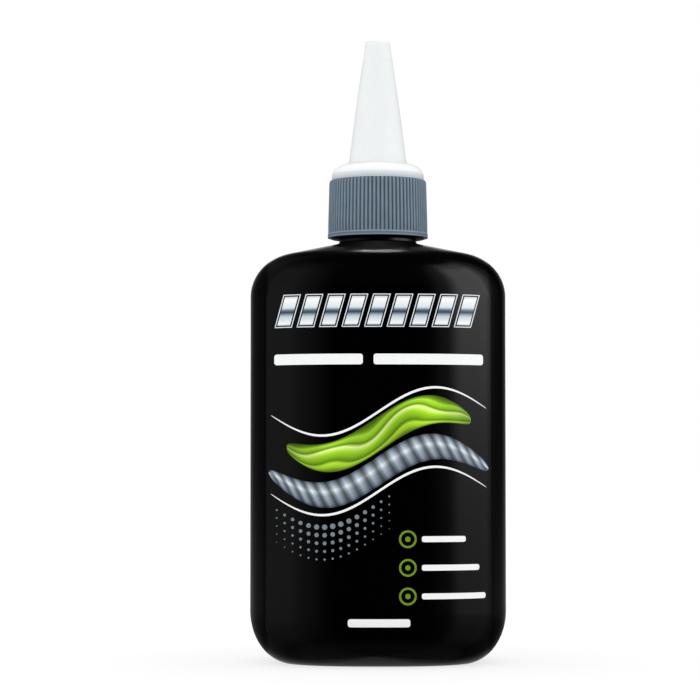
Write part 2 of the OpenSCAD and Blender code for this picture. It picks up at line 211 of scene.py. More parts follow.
class LabelSizes(bpy.types.PropertyGroup):
    """Sizes and colours of the film and its print"""

    half_w: length("Half width", "Half the width of the film", high("front_label", 0) / MM)
    low: length("Low edge", "Height of the film's lower edge", low("front_label", 2) / MM)
    top: length("Top edge", "Height of the film's upper edge", high("front_label", 2) / MM)
    corner: length("Corner", "Radius of the film's corners", 2)
    gap: length("Gap", "Distance of the film from the body", 0.02)
    film_t: length("Film", "Thickness of the film", 0.1)
    ink_gap: length("Ink gap", "Distance of the ink from the film", 0.01)
    ink_t: length("Ink", "Thickness of the ink", 0.05)
    margin: length("Margin", "Distance of the bars and lines from the film's sides", 1.6)
    bar_n: whole_number("Bars", "Number of slanted bars", 9, min=3)
    bar_h: length("Bar height", "Height of the slanted bars", 6.2)
    bar_gap: length("Bar gap", "Gap between two slanted bars", 0.9)
    bar_slant: share("Bar slant", "Run of a bar's slant for each unit of its height", 0.28)
    bar_inset: length("Bar inset", "Distance of a bar's face from the outside of its frame", 0.42)
    frame_line: length("Frame line", "Width of the line round a bar", 0.17)
    line_h: length("Line height", "Height of the white lines", 2)
    wave_z: length("Wave height", "Height of the middle of the wave", 40)
    wave_swing: length("Wave swing", "How far the wave swings up and down", 4.5)
    ring_x: length("Ring place", "Distance of the small rings from the middle", 5.35)
    ring_r: length("Ring radius", "Radius of the small rings", 1.65)
    ring_line: length("Ring line", "Width of the small rings' line", 0.4)
    ring_step: length("Ring step", "Distance from one small ring to the next", 5.3)
    word_h: length("Word height", "Height of the word bars", 1.1)
    dot_r: length("Dot", "Radius of the largest dots in the field under the wave", 0.5)
    note_half: length("Note half width", "Half the width of the bar near the foot", 5.8)
    note_h: length("Note height", "Height of the bar near the foot", 1.5)
    film_tint: colour("Film", "Colour of the glossy film", (0.0002, 0.0004, 0.0003))
    white_tint: colour("White ink", "Colour of the white ink", (0.95, 0.96, 0.96))
    silver_tint: colour("Silver ink", "Colour of the silver ink", (0.2, 0.235, 0.27))
    line_tint: colour("Silver line", "Colour of the line round the bars", (0.8, 0.84, 0.86))
    lime_tint: colour("Lime ink", "Colour of the small rings", (0.17, 0.3, 0.01))


class StageLooks(bpy.types.PropertyGroup):
    """Camera, floor and light"""

    distance: length("Distance", "Distance of the camera in front of the bottle's axis", 514.4)
    aside: length("Aside", "How far the camera stands left of the axis", 5.39)
    height: length("Height", "Height of the camera over the floor", 38.7)
    tilt: angle_of("Tilt", "Upward tilt of the camera", 2.38)
    lens: number("Lens", "Focal length for a sensor of 36 mm", 136.8, unit="CAMERA")
    ambient: number("Ambient", "Strength of the white light from all round", 1.05, min=0, max=2)
    shadow: share("Shadow", "How much of the object's shadow the floor keeps", 0.25)
    lamp_far: length("Lamp distance", "Distance of the lamp over the back", 600)
    lamp_aside: length("Lamp aside", "How far the lamp stands right of the axis", 6)
    lamp_w: length("Lamp width", "Width of the lamp over the back", 62)
    lamp_h: length("Lamp height", "Height of the lamp over the back", 280)
    lamp_up: angle_of("Lamp angle", "Angle of the lamp over the horizon", 49)
    lamp_level: number("Lamp level", "Brightness of the lamp's face", 2.1, min=0)
    floor_r: length("Floor", "Radius of the floor", 6000)
    floor_tint: colour("Floor", "Colour of the floor", (0.85, 0.85, 0.85))


def settings(group):
    """The scene's sizes and looks of one group"""
    return getattr(bpy.context.scene, "bottle_" + group)


# Nodes


def feed(node, inputs):
    """Sets a node's inputs, each from a value, a socket or another node's first output"""
    for name, value in inputs.items():
        if isinstance(value, bpy.types.Node):
            value = value.outputs[0]
        if isinstance(value, bpy.types.NodeSocket):
            node.id_data.links.new(value, node.inputs[name])
        else:
            node.inputs[name].default_value = value


def add(tree, kind, inputs=None, **fields):
    """A new node with its fields set and its inputs fed"""
    node = tree.nodes.new(kind)
    for field, value in fields.items():
        setattr(node, field, value)
    feed(node, inputs or {})
    return node


def maths(operation, *values):
    """Result of one operation on sockets and numbers"""
    tree = next(value.id_data for value in values if isinstance(value, bpy.types.NodeSocket))
    return add(tree, "ShaderNodeMath", dict(enumerate(values)), operation=operation).outputs["Value"]


def split(vector):
    """X, Y and Z of a vector"""
    return add(vector.id_data, "ShaderNodeSeparateXYZ", {"Vector": vector}).outputs


def noise(place, scale, detail, stretch=(1, 1, 1)):
    """Noise at a place, with scale in waves a metre"""
    mapping = add(place.id_data, "ShaderNodeMapping", {"Vector": place, "Scale": stretch})
    inputs = {"Vector": mapping, "Scale": scale, "Detail": detail}
    return add(place.id_data, "ShaderNodeTexNoise", inputs).outputs["Fac"]


def spread(source, least, most, from_least=0.3, from_most=0.7):
    """A source's values moved into a range"""
    inputs = {"Value": source, "From Min": from_least, "From Max": from_most, "To Min": least, "To Max": most}
    return add(source.id_data, "ShaderNodeMapRange", inputs).outputs["Result"]


def ramp(source, stops, interpolation="LINEAR"):
    """Colour along a source from 0 to 1, through stops of (place, colour)"""
    node = add(source.id_data, "ShaderNodeValToRGB", {"Fac": source})
    node.color_ramp.interpolation = interpolation
    elements = node.color_ramp.elements
    while len(elements) < len(stops):
        elements.new(0.5)
    for element, (place, tint) in zip(elements, stops):
        element.position = place
        element.color = (*tint, 1)
    return node.outputs["Color"]


def level_curve(source, stops):
    """A smooth level or colour along a source, through stops of (place, level)"""
    least, most = stops[0][0], stops[-1][0]
    tints = [level if isinstance(level, tuple) else (level, level, level) for _, level in stops]
    places = [(place - least) / (most - least) for place, _ in stops]
    return ramp(spread(source, 0, 1, least, most), list(zip(places, tints)), "EASE")


def tinted(source, tint, dark, light):
    """A colour that a source makes a little darker or lighter"""
    return ramp(source, [(0.3, [c * dark for c in tint]), (0.7, [min(1, c * light) for c in tint])])


def shaded(tint, level):
    """A colour times a level or times another colour"""
    inputs = {0: tint, 1: level}
    return add(tint.id_data, "ShaderNodeVectorMath", inputs, operation="MULTIPLY").outputs["Vector"]


def grain(source, depth, strength):
    """Bump from a source, with its depth in metres"""
    inputs = {"Height": source, "Distance": depth, "Strength": strength}
    return add(source.id_data, "ShaderNodeBump", inputs).outputs["Normal"]


# Meshes


def ring_of(r, z, columns):
    """Points of a level circle, counter-clockwise seen from above; a radius of nothing gives one point"""
    if r < 1e-9:
        return np.array([[0.0, 0.0, z]])
    t = np.linspace(0, 2 * math.pi, columns, endpoint=False)
    return np.stack([r * np.cos(t), r * np.sin(t), np.full(columns, z)], axis=1)


def circles(outline, columns):
    """Rings of points for the radii and heights of an outline"""
    return [ring_of(r, z, columns) for r, z in outline]


def quarter(r, z, inward, down, steps):
    """Radii and heights of an upper edge that is rounded from radius r up to height z"""
    turns = np.linspace(0, math.pi / 2, steps)
    return [(r - inward * (1 - math.cos(turn)), z - down * (1 - math.sin(turn))) for turn in turns]


def skin(rings, loop=False):
    """Points and faces over rings of points; a ring of one point is a pole, and a loop joins last to first"""
    starts = np.cumsum([0] + [len(ring) for ring in rings])
    faces = []
    last = len(rings) if loop else len(rings) - 1
    for k in range(last):
        a, b = k, (k + 1) % len(rings)
        count = max(len(rings[a]), len(rings[b]))
        for i in range(count):
            j = (i + 1) % count
            lower = [starts[a] + i, starts[a] + j] if len(rings[a]) > 1 else [starts[a]]
            upper = [starts[b] + j, starts[b] + i] if len(rings[b]) > 1 else [starts[b]]
            faces.append(lower + upper)
    return np.concatenate(rings), faces


def grid_faces(rows, columns):
    """Faces of a grid of points that are listed row by row"""
    return [
        [i * columns + j, i * columns + j + 1, (i + 1) * columns + j + 1, (i + 1) * columns + j]
        for i in range(rows - 1)
        for j in range(columns - 1)
    ]


def placed(name, data):
    """A new object in the scene"""
    thing = bpy.data.objects.new(name, data)
    bpy.context.scene.collection.objects.link(thing)
    return thing


def finished(name, points, faces, material, body, replaced, crease=35):
    """A piece with smooth faces and sharp creases, riding on its body in place of its solid"""
    mesh = bpy.data.meshes.new(name)
    mesh.from_pydata(points.tolist(), [], faces)
    mesh.validate()
    return dressed(name, mesh, [material], body, replaced, crease)


def dressed(name, mesh, materials, body, replaced, crease):
    """An object for a finished mesh, riding on its body in place of its solid"""
    for material in materials:
        if material.name not in mesh.materials:
            mesh.materials.append(material)
    mesh.shade_smooth()
    mesh.set_sharp_from_angle(angle=math.radians(crease))
    piece = placed(name, mesh)
    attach(piece, body)
    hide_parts(replaced)
    return piece


def rounded(corners, steps=4):
    """Outline with each corner of (r, z, rounding) turned into a short arc"""
    outline = []
    count = len(corners)
    for k, (r, z, rounding) in enumerate(corners):
        here = Vector((r, z))
        if rounding <= 0:
            outline.append((r, z))
            continue
        before = (Vector(corners[k - 1][:2]) - here).normalized()
        after = (Vector(corners[(k + 1) % count][:2]) - here).normalized()
        start, end = here + before * rounding, here + after * rounding
        for i in range(steps + 1):
            u = i / steps
            point = start * (1 - u) ** 2 + here * (2 * u * (1 - u)) + end * u**2
            outline.append((point.x, point.y))
    return outline


def thread_height(z, angle, first, sizes):
    """How far a thread that starts at height first stands up, from 0 to 1, at heights z and an angle"""
    stands = np.zeros_like(z)
    runout = 1 / 6
    for turn in range(math.ceil(sizes.turns) + 1):
        along = turn + angle / (2 * math.pi)
        if along > sizes.turns:
            continue
        grow = max(0.0, min(1.0, along / runout, (sizes.turns - along) / runout))
        away = np.abs(z - first - along * sizes.pitch)
        flank = (sizes.root_w / 2 - away) / (sizes.root_w / 2 - sizes.crest_w / 2)
        stands = np.maximum(stands, grow * np.clip(flank, 0, 1))
    return stands


def threaded_wall(z_from, z_to, wall_r, thread_r, first, columns, sizes):
    """Rings of a round wall at radius wall_r with a thread that reaches radius thread_r"""
    rows = max(2, round(abs(z_to - z_from) / sizes.row))
    z = np.linspace(z_from, z_to, rows + 1)
    angles = np.linspace(0, 2 * math.pi, columns, endpoint=False)
    root_r = wall_r - math.copysign(sizes.sink, thread_r - wall_r)
    radii = np.zeros((rows + 1, columns))
    for i, angle in enumerate(angles):
        tall = root_r + (thread_r - root_r) * thread_height(z, angle, first, sizes)
        radii[:, i] = np.maximum(tall, wall_r) if thread_r > wall_r else np.minimum(tall, wall_r)
    return [
        np.stack([radii[k] * np.cos(angles), radii[k] * np.sin(angles), np.full(columns, z[k])], axis=1)
        for k in range(rows + 1)
    ]


# The blown body's surface


def plan(a, b, t, power):
    """Points of the body's plan at angles t"""
    c, s = np.cos(t), np.sin(t)
    return a * np.sign(c) * np.abs(c) ** (2 / power), b * np.sign(s) * np.abs(s) ** (2 / power)


def corner_end(body, w):
    """Angle at which the shoulder's corner meets its slope, for a surface that lies w inside"""
    return math.atan2(body.shoulder_up - w, (body.shoulder_in - w) * math.tan(body.shoulder_slope))


def body_rings(body, w, neck_r, steps):
    """Inset, height, share of the neck's circle and scale of each ring, from the hollow to the neck"""
    rings = []
    hollow_in = body.foot_in + body.foot_ring
    for s in np.linspace(0, 1, steps):
        rise = (body.push_up + body.foot_sink) * (1 - s * s)
        rings.append((hollow_in, w - body.foot_sink + rise, 0, s))
    for t in np.linspace(math.pi / 2, 0, 2 * steps):
        sunk = (body.foot_up + body.foot_sink - w) * math.sin(t)
        rings.append(((body.foot_in - w) * (1 - math.cos(t)), body.foot_up - sunk, 0, 1))
    for u in np.linspace(0, 1, steps)[1:]:
        rings.append((0, body.foot_up + (body.side_top - body.foot_up) * u, 0, 1))
    neck_in = body.half_w - w - neck_r
    end = corner_end(body, w)
    for t in np.linspace(0, end, 2 * steps)[1:]:
        rise = (body.shoulder_up - w) * math.sin(t)
        rings.append((0, body.side_top + rise, (body.shoulder_in - w) * (1 - math.cos(t)) / neck_in, 1))
    turned = (body.shoulder_in - w) * (1 - math.cos(end))
    for u in np.linspace(0, 1, steps)[1:]:
        run = (neck_in - turned) * u
        rise = (body.shoulder_up - w) * math.sin(end) + run * math.tan(body.shoulder_slope)
        rings.append((0, body.side_top + rise, (turned + run) / neck_in, 1))
    return rings


def ring_points(body, ring, t, w, neck_r):
    """Points of one ring of the body at angles t, for a surface that lies w inside"""
    inset, z, blend, scale = ring
    x, y = plan(body.half_w - w - inset, body.half_d - w - inset, t, body.plan_power)
    x = scale * ((1 - blend) * x + blend * neck_r * np.cos(t))
    y = scale * ((1 - blend) * y + blend * neck_r * np.sin(t))
    return np.stack([x, y, np.full_like(x, max(z, 0.0))], axis=1)


def shoulder_top(body):
    """Height where the slope of the shoulder meets the neck"""
    return body_rings(body, 0, body.neck_r + body.neck_flare, 3)[-1][1]


def front_point(body, x, z, lift):
    """Points on the front at places x and heights z, at a distance over the body"""
    x, z = np.broadcast_arrays(np.asarray(x, float), np.asarray(z, float))
    neck_r = body.neck_r + body.neck_flare
    neck_in = body.half_w + lift - neck_r
    down = np.clip((body.foot_up - z) / (body.foot_up + body.foot_sink + lift), 0, 1)
    inset = (body.foot_in + lift) * (1 - np.sqrt(1 - down**2))
    up = np.clip((z - body.side_top) / (body.shoulder_up + lift), 0, 1)
    blend = (body.shoulder_in + lift) * (1 - np.sqrt(1 - up**2)) / neck_in
    a, b = body.half_w + lift - inset, body.half_d + lift - inset
    # Halves the range of the cosine until the surface reaches x
    least, most = np.zeros_like(x), np.ones_like(x)
    for _ in range(40):
        c = (least + most) / 2
        reach = (1 - blend) * a * c ** (2 / body.plan_power) + blend * neck_r * c
        wide = reach > np.abs(x)
        most = np.where(wide, c, most)
        least = np.where(wide, least, c)
    s = np.sqrt(1 - c**2)
    y = -((1 - blend) * b * s ** (2 / body.plan_power) + blend * neck_r * s)
    return np.stack([x, y, z], axis=-1)


def bottle_shell():
    """The blown bottle: outside, screw neck, bore and hollow inside in one skin"""
    body, sizes = settings("body"), settings("thread")
    columns = body.columns
    t = np.linspace(0, 2 * math.pi, columns, endpoint=False)
    root = body.neck_r + body.neck_flare
    # A shallow step runs up both sides and over the shoulder where the mould parts
    side = np.abs(np.sin(t)) * body.half_d
    seam = body.seam_d * np.exp(-((side / body.seam_w) ** 2))
    rings = []
    for ring in body_rings(body, 0, root, 12):
        points = ring_points(body, ring, t, 0, root)
        points[:, 0] -= np.sign(points[:, 0]) * seam * (ring[3] == 1)
        rings.append(points[:1] * [0, 0, 1] if ring[3] == 0 else points)
    bead_z = shoulder_top(body) + body.neck_gap
    bead_top = bead_z + body.bead_t
    flare_z = shoulder_top(body) + 0.05 * MM
    for turn in np.linspace(0.1, 1, 8) * math.pi / 2:
        fillet_r = body.neck_r + body.neck_flare * (1 - math.sin(turn))
        rings.append(ring_of(fillet_r, flare_z + body.flare_up * (1 - math.cos(turn)), columns))
    bead = [
        (body.neck_r, bead_z, 0),
        (body.bead_r, bead_z + body.bead_t / 2, 0.05 * MM),
        (body.bead_r, bead_top, 0.06 * MM),
        (body.root_r, bead_top, 0.12 * MM),
        (body.root_r, LIP_Z, 0),
    ]
    rings += circles(rounded(bead)[:-1], columns)
    first = LIP_Z - sizes.lead_in - sizes.turns * sizes.pitch
    crest_r = body.root_r + sizes.depth
    chamfer = 0.3 * MM
    rings += threaded_wall(bead_top + 0.3 * MM, LIP_Z - chamfer, body.root_r, crest_r, first, columns, sizes)
    inner_top = body.side_top + 4 * MM
    lip = [
        (body.root_r, LIP_Z - chamfer, 0),
        (body.root_r - chamfer / 3, LIP_Z, 0.15 * MM),
        (body.bore_r, LIP_Z, 0.12 * MM),
        (body.bore_r, inner_top, 0),
    ]
    rings += circles(rounded(lip)[1:-1], columns)
    hollow_top_r = body.bore_r + 0.6 * MM
    inside = body_rings(body, body.wall, hollow_top_r, 9)[::-1]
    rings.append(ring_of(body.bore_r, inside[0][1] + 0.1 * MM, columns))
    for ring in inside:
        points = ring_points(body, ring, t, body.wall, hollow_top_r)
        points[:, 2] = ring[1]
        rings.append(points[:1] * [0, 0, 1] if ring[3] == 0 else points)
    points, faces = skin(rings)
    material = black_plastic("bottle_black", body, flare_z + body.flare_up, bead_z)
    return finished("bottle_shell", points, faces, material, "bottle", "bottle")


# The film and its print


def sheet_solid(outer, inner):
    """Closed thin solid between two grids of points of the same size"""
    rows, columns = outer.shape[:2]
    half = rows * columns
    points = np.concatenate([outer.reshape(-1, 3), inner.reshape(-1, 3)])

    def at(i, j):
        return i * columns + j

    faces = []
    for quad in grid_faces(rows, columns):
        faces += [quad, [half + k for k in quad[::-1]]]
    edge = [at(0, j) for j in range(columns)] + [at(i, columns - 1) for i in range(1, rows)]
    edge += [at(rows - 1, j) for j in range(columns - 2, -1, -1)] + [at(i, 0) for i in range(rows - 2, 0, -1)]
    for a, b in zip(edge, edge[1:] + edge[:1]):
        faces.append([b, a, half + a, half + b])
    return points, faces


def box_grid(x0, z0, x1, z1, corner, across, up):
    """Places x and heights z of a grid that fills a box with round corners"""
    arc = corner * (1 - np.cos(np.linspace(0, math.pi / 2, 9)))[:-1]
    straight = np.linspace(x0 + corner, x1 - corner, across + 1)
    x = np.concatenate([x0 + arc, straight, (x1 - arc)[::-1]])
    inside = np.clip(corner - np.minimum(x - x0, x1 - x), 0, corner)
    cut = corner - np.sqrt(np.maximum(corner**2 - inside**2, 0))
    v = np.linspace(0, 1, up + 1)[:, None]
    z = (z0 + cut) * (1 - v) + (z1 - cut) * v
    return np.broadcast_to(x, z.shape), z


def front_film():
    """The glossy film on the front"""
    body, label = settings("body"), settings("label")
    x, z = box_grid(-label.half_w, label.low, label.half_w, label.top, label.corner, 110, 90)
    outer = front_point(body, x, z, label.gap + label.film_t)
    inner = front_point(body, x, z, label.gap)
    points, faces = sheet_solid(outer, inner)
    material = glossy_film("film_black", label.film_tint)
    return finished("film", points, faces, material, "bottle", "front_label", 40)


# How far in front of the axis a drawing stands before it is laid on the film
DRAWING_Y = 60 * MM
# Width of one column of faces in a bar, and thickness of a ribbon's ends as a share of its middle
BAR_STEP = 0.5 * MM
RIBBON_END = 0.12
# Distance of the slanted bars from the film's upper edge, and from there down to the white lines
BAR_DROP = 1.6 * MM
LINE_DROP = 7 * MM
# Ends of the two white lines near the middle, and the rounding of a line's corners
LINE_ENDS = (-3 * MM, -1 * MM)
LINE_ROUND = 0.5 * MM
# Height of the lowest small ring and of the bar near the foot over the film's lower edge
RING_RISE = 7.9 * MM
NOTE_RISE = 2.2 * MM
# Distance from a ring's middle to its word bar, a word bar's rounding, and how far each stays from the side
WORD_AWAY = 2.6 * MM
WORD_ROUND = 0.4 * MM
WORD_MARGINS = (1.2 * MM, 2.4 * MM, 5 * MM)
# Lower and upper edge of each ribbon over the wave, and distance of its ends from the film's sides
HIGH_THREAD = (7.6 * MM, 8.1 * MM, 1 * MM)
LOW_THREAD = (-7.2 * MM, -6.7 * MM, 1 * MM)
LIME_RIBBON = (0.4 * MM, 7 * MM, 4 * MM)
SILVER_RIBBON = (-6 * MM, -0.4 * MM, 0.6 * MM)
# Size, place and number of rows of the field of dots
DOTS_W, DOTS_H = 21 * MM, 6 * MM
DOTS_X, DOTS_DROP = -8.6 * MM, 12.2 * MM
DOT_COLUMNS, DOT_ROWS = 15, 5


def flat_drawing(name, x, z, material, u=None, v=None):
    """A flat grid in front of the bottle, with its own shares across and up kept as its UV map"""
    rows, columns = x.shape
    points = np.stack([x, np.full_like(x, -DRAWING_Y), z], axis=-1).reshape(-1, 3)
    mesh = bpy.data.meshes.new(name)
    mesh.from_pydata(points.tolist(), [], grid_faces(rows, columns))
    across = np.broadcast_to(np.linspace(0, 1, columns), x.shape) if u is None else u
    up = np.broadcast_to(np.linspace(0, 1, rows)[:, None], x.shape) if v is None else v
    uv = np.stack([across, up], axis=-1).reshape(-1, 2)
    layer = mesh.uv_layers.new(name="print")
    corners = np.array([corner.vertex_index for corner in mesh.loops])
    layer.data.foreach_set("uv", uv[corners].astype(np.float32).ravel())
    mesh.materials.append(material)
    return placed(name, mesh)


def wave(x):
    """Height of the wave at places x"""
    label = settings("label")
    return label.wave_z + label.wave_swing * np.sin(math.pi * x / label.half_w)


def ribbon(name, low_edge, high_edge, margin, material, up):
    """A ribbon along the wave, thinner at its ends"""
    label = settings("label")
    reach = label.half_w - margin
    x = np.linspace(-reach, reach, 121)[None, :]
    half = (high_edge - low_edge) / 2
    taper = RIBBON_END + (1 - RIBBON_END) * np.sqrt(np.maximum(0, np.cos(math.pi / 2 * x / reach)))
    v = np.linspace(-1, 1, up + 1)[:, None]
    z = wave(x) + (low_edge + high_edge) / 2 + half * taper * v
    return flat_drawing(name, np.broadcast_to(x, z.shape), z, material)


def rounded_bar(name, x0, z0, x1, z1, corner, material):
    """A level bar with round corners"""
    across = max(2, round((x1 - x0) / BAR_STEP))
    x, z = box_grid(x0, z0, x1, z1, corner, across, 6)
    return flat_drawing(name, x, z, material, u=(x - x0) / (x1 - x0), v=(z - z0) / (z1 - z0))


def slanted_corners(x0, z0, width, height, slant, inset):
    """Lower left, lower right, upper right and upper left corner of a slanted bar, moved in by an inset"""
    run = inset * math.sqrt(1 + slant**2)
    low_x, high_x = x0 + slant * inset, x0 + slant * (height - inset)
    corners = [
        (low_x + run, z0 + inset),
        (low_x + width - run, z0 + inset),
        (high_x + width - run, z0 + height - inset),
        (high_x + run, z0 + height - inset),
    ]
    return np.array(corners)


def slanted_bar(name, x0, z0, width, height, slant, inset, material):
    """The face of a slanted bar"""
    corners = slanted_corners(x0, z0, width, height, slant, inset)
    low_left, low_right, high_right, high_left = corners
    u = np.linspace(0, 1, 9)[None, :, None]
    v = np.linspace(0, 1, 13)[:, None, None]
    place = (low_left * (1 - u) + low_right * u) * (1 - v) + (high_left * (1 - u) + high_right * u) * v
    return flat_drawing(name, place[..., 0], place[..., 1], material)


def slanted_frame(name, x0, z0, width, height, slant, line, material):
    """Thin line round a slanted bar"""
    loops = []
    for inset in (0, line):
        corners = slanted_corners(x0, z0, width, height, slant, inset)
        loop = []
        for k, steps in enumerate((8, 12, 8, 12)):
            u = np.linspace(0, 1, steps, endpoint=False)[:, None]
            loop.append(corners[k] * (1 - u) + corners[(k + 1) % 4] * u)
        loops.append(np.concatenate([*loop, corners[:1]]))
    place = np.stack(loops[::-1])
    return flat_drawing(name, place[..., 0], place[..., 1], material)


def small_ring(name, x0, z0, radius, line, material):
    """A flat ring with a line of one width"""
    t = np.linspace(0, 2 * math.pi, 49)[None, :]
    r = np.linspace(radius, radius - line, 3)[:, None]
    return flat_drawing(name, x0 + r * np.cos(t), z0 + r * np.sin(t), material)


def dot(name, x0, z0, radius, material):
    """A disc, a touch squared off where its sides would end in a point"""
    return rounded_bar(name, x0 - radius, z0 - radius, x0 + radius, z0 + radius, 0.96 * radius, material)


def tree_with_inputs(name, result, **inputs):
    """A Geometry Nodes tree with its inputs by kind and name, and what they give"""
    tree = bpy.data.node_groups.new(name, "GeometryNodeTree")
    tree.is_modifier = True
    for kind, names in inputs.items():
        for each in names:
            tree.interface.new_socket(name=each, in_out="INPUT", socket_type="NodeSocket" + kind)
    tree.interface.new_socket(name=result, in_out="OUTPUT", socket_type="NodeSocketGeometry")
    return tree, add(tree, "NodeGroupInput", label="Sizes").outputs


def inked(tree, faces, material, result):
    """Ends a tree with the real faces, their material and the output"""
    paint = add(tree, "GeometryNodeSetMaterial", {"Geometry": faces, "Material": material}, label="Material")
    add(tree, "NodeGroupOutput", {result: paint}, label=result)
    return tree


def print_tree():
    """Repeats a flat drawing, lays it on the film and gives the ink its thickness"""
    tree, given = tree_with_inputs(
        "Lay Print on Film", "Print", Geometry=["Drawing"], Int=["Count"], Vector=["Step"], Object=["Film"],
        Float=["Lift", "Ink"], Material=["Material"],
    )
    line = {"Count": given["Count"], "Offset": given["Step"]}
    places = add(tree, "GeometryNodeMeshLine", line, label="Places", mode="OFFSET")
    copies = {"Points": places, "Instance": given["Drawing"]}
    copies = add(tree, "GeometryNodeInstanceOnPoints", copies, label="Copies")
    flat = add(tree, "GeometryNodeRealizeInstances", {"Geometry": copies}, label="Flat print")
    film = {"Object": given["Film"]}
    film = add(tree, "GeometryNodeObjectInfo", film, label="Film", transform_space="ORIGINAL")
    ray = {
        "Target Geometry": film.outputs["Geometry"],
        "Source Position": add(tree, "GeometryNodeInputPosition", label="Place"),
        "Ray Direction": (0, 1, 0),
        "Ray Length": 1,
    }
    hit = add(tree, "GeometryNodeRaycast", ray, label="Hit on the film").outputs
    lift = {0: hit["Hit Normal"], "Scale": given["Lift"]}
    lift = add(tree, "ShaderNodeVectorMath", operation="SCALE", label="Lift off the film", inputs=lift)
    over = {0: hit["Hit Position"], 1: lift}
    over = add(tree, "ShaderNodeVectorMath", operation="ADD", label="Place over the film", inputs=over)
    laid = add(tree, "GeometryNodeSetPosition", {"Geometry": flat, "Position": over}, label="Lay on the film")
    top = {"Mesh": laid, "Offset Scale": given["Ink"], "Individual": False}
    top = add(tree, "GeometryNodeExtrudeMesh", inputs=top, label="Ink's thickness", mode="FACES")
    under = add(tree, "GeometryNodeFlipFaces", {"Mesh": laid}, label="Underside")
    whole = add(tree, "GeometryNodeJoinGeometry", {"Geometry": top}, label="Top, sides and underside")
    feed(whole, {"Geometry": under})
    closed = {"Geometry": whole, "Distance": 0.002 * MM}
    closed = add(tree, "GeometryNodeMergeByDistance", closed, label="Close the ink")
    real = add(tree, "GeometryNodeRealizeInstances", {"Geometry": closed}, label="Real faces")
    return inked(tree, real, given["Material"], "Print")


def dot_tree():
    """Fills a field with rows of dots that follow the wave and grow smaller towards its foot and its ends"""
    tree, given = tree_with_inputs(
        "Field of Dots", "Field", Geometry=["Dot"], Int=["Columns", "Rows"], Vector=["Middle"],
        Float=["Width", "Height", "Phase", "Swing"], Material=["Material"],
    )
    grid = {
        "Vertices X": given["Columns"],
        "Vertices Y": given["Rows"],
        "Size X": given["Width"],
        "Size Y": given["Height"],
    }
    grid = add(tree, "GeometryNodeMeshGrid", grid, label="Places")
    flat_x, flat_y, _ = split(add(tree, "GeometryNodeInputPosition", label="Place").outputs["Position"])
    middle_x, middle_y, middle_z = split(given["Middle"])
    ends = maths("COSINE", maths("MULTIPLY", maths("DIVIDE", flat_x, given["Width"]), math.pi))
    ends = maths("MULTIPLY_ADD", ends, 0.65, 0.35)
    size = maths("MULTIPLY", ends, maths("MULTIPLY_ADD", maths("DIVIDE", flat_y, given["Height"]), 0.6, 0.7))
    x = maths("ADD", flat_x, middle_x)
    swing = maths("SINE", maths("MULTIPLY", x, given["Phase"]))
    z = maths("ADD", maths("MULTIPLY_ADD", swing, given["Swing"], flat_y), middle_z)
    kept = {"Geometry": grid, "Name": "size", "Value": size}
    kept = add(tree, "GeometryNodeStoreNamedAttribute", kept, label="Keep the size")
    place = add(tree, "ShaderNodeCombineXYZ", {"X": x, "Y": middle_y, "Z": z}, label="Place on the wave")
    moved = {"Geometry": kept, "Position": place}
    moved = add(tree, "GeometryNodeSetPosition", moved, label="Stand the field up")
    scale = add(tree, "GeometryNodeInputNamedAttribute", {"Name": "size"}, label="Size of the dot")
    copies = {"Points": moved, "Instance": given["Dot"], "Scale": scale}
    copies = add(tree, "GeometryNodeInstanceOnPoints", copies, label="Copies")
    real = add(tree, "GeometryNodeRealizeInstances", {"Geometry": copies}, label="Real faces")
    clean = {"Geometry": real, "Name": "size"}
    clean = add(tree, "GeometryNodeRemoveAttribute", clean, label="Forget the size")
    return inked(tree, clean, given["Material"], "Field")


def rib_tree():
    """Turns copies of one rib round the axis and joins them into a ring"""
    tree, given = tree_with_inputs(
        "Ring of Ribs", "Ring", Geometry=["Rib"], Int=["Count"], Float=["Turn"], Material=["Material"]
    )
    line = {"Count": given["Count"], "Offset": (0, 0, 0)}
    line = add(tree, "GeometryNodeMeshLine", line, label="One point for each rib", mode="OFFSET")
    index = add(tree, "GeometryNodeInputIndex", label="Number of the rib").outputs["Index"]
    turn = {"Z": maths("MULTIPLY", index, given["Turn"])}
    turn = add(tree, "ShaderNodeCombineXYZ", turn, label="Turn round the axis")
    copies = {"Points": line, "Instance": given["Rib"], "Rotation": turn}
    copies = add(tree, "GeometryNodeInstanceOnPoints", copies, label="Copies")
    real = add(tree, "GeometryNodeRealizeInstances", {"Geometry": copies}, label="Real faces")
    closed = {"Geometry": real, "Distance": 0.003 * MM}
    closed = add(tree, "GeometryNodeMergeByDistance", closed, label="Close the ring")
    return inked(tree, closed, given["Material"], "Ring")


def dot_field(name, material):
    """A flat drawing of many dots under the wave"""
    label = settings("label")
    one = dot("dot", 0, 0, label.dot_r, material)
    one.data.transform(Matrix.Translation((0, DRAWING_Y, 0)))
    middle = (DOTS_X, -DRAWING_Y, label.wave_z - DOTS_DROP)
    field = {"columns": DOT_COLUMNS, "rows": DOT_ROWS, "width": DOTS_W, "height": DOTS_H, "middle": middle}
    curve = {"phase": math.pi / label.half_w, "swing": label.wave_swing}
    return placed(name, baked(one, dot_tree(), **field, **curve, material=material))


def baked(source, tree, **values):
    """The plain mesh that a tree makes of an object, which is then removed"""
    modifier = source.modifiers.new(tree.name, "NODES")
    modifier.node_group = tree
    names = {
        item.name: item.identifier
        for item in tree.interface.items_tree
        if item.item_type == "SOCKET" and item.in_out == "INPUT"
    }
    for name, value in values.items():
        modifier[names[name.replace("_", " ").capitalize()]] = value
    result = source.evaluated_get(bpy.context.evaluated_depsgraph_get())
    mesh = bpy.data.meshes.new_from_object(result)
    source.modifiers.remove(modifier)
    bpy.data.objects.remove(source)
    return mesh


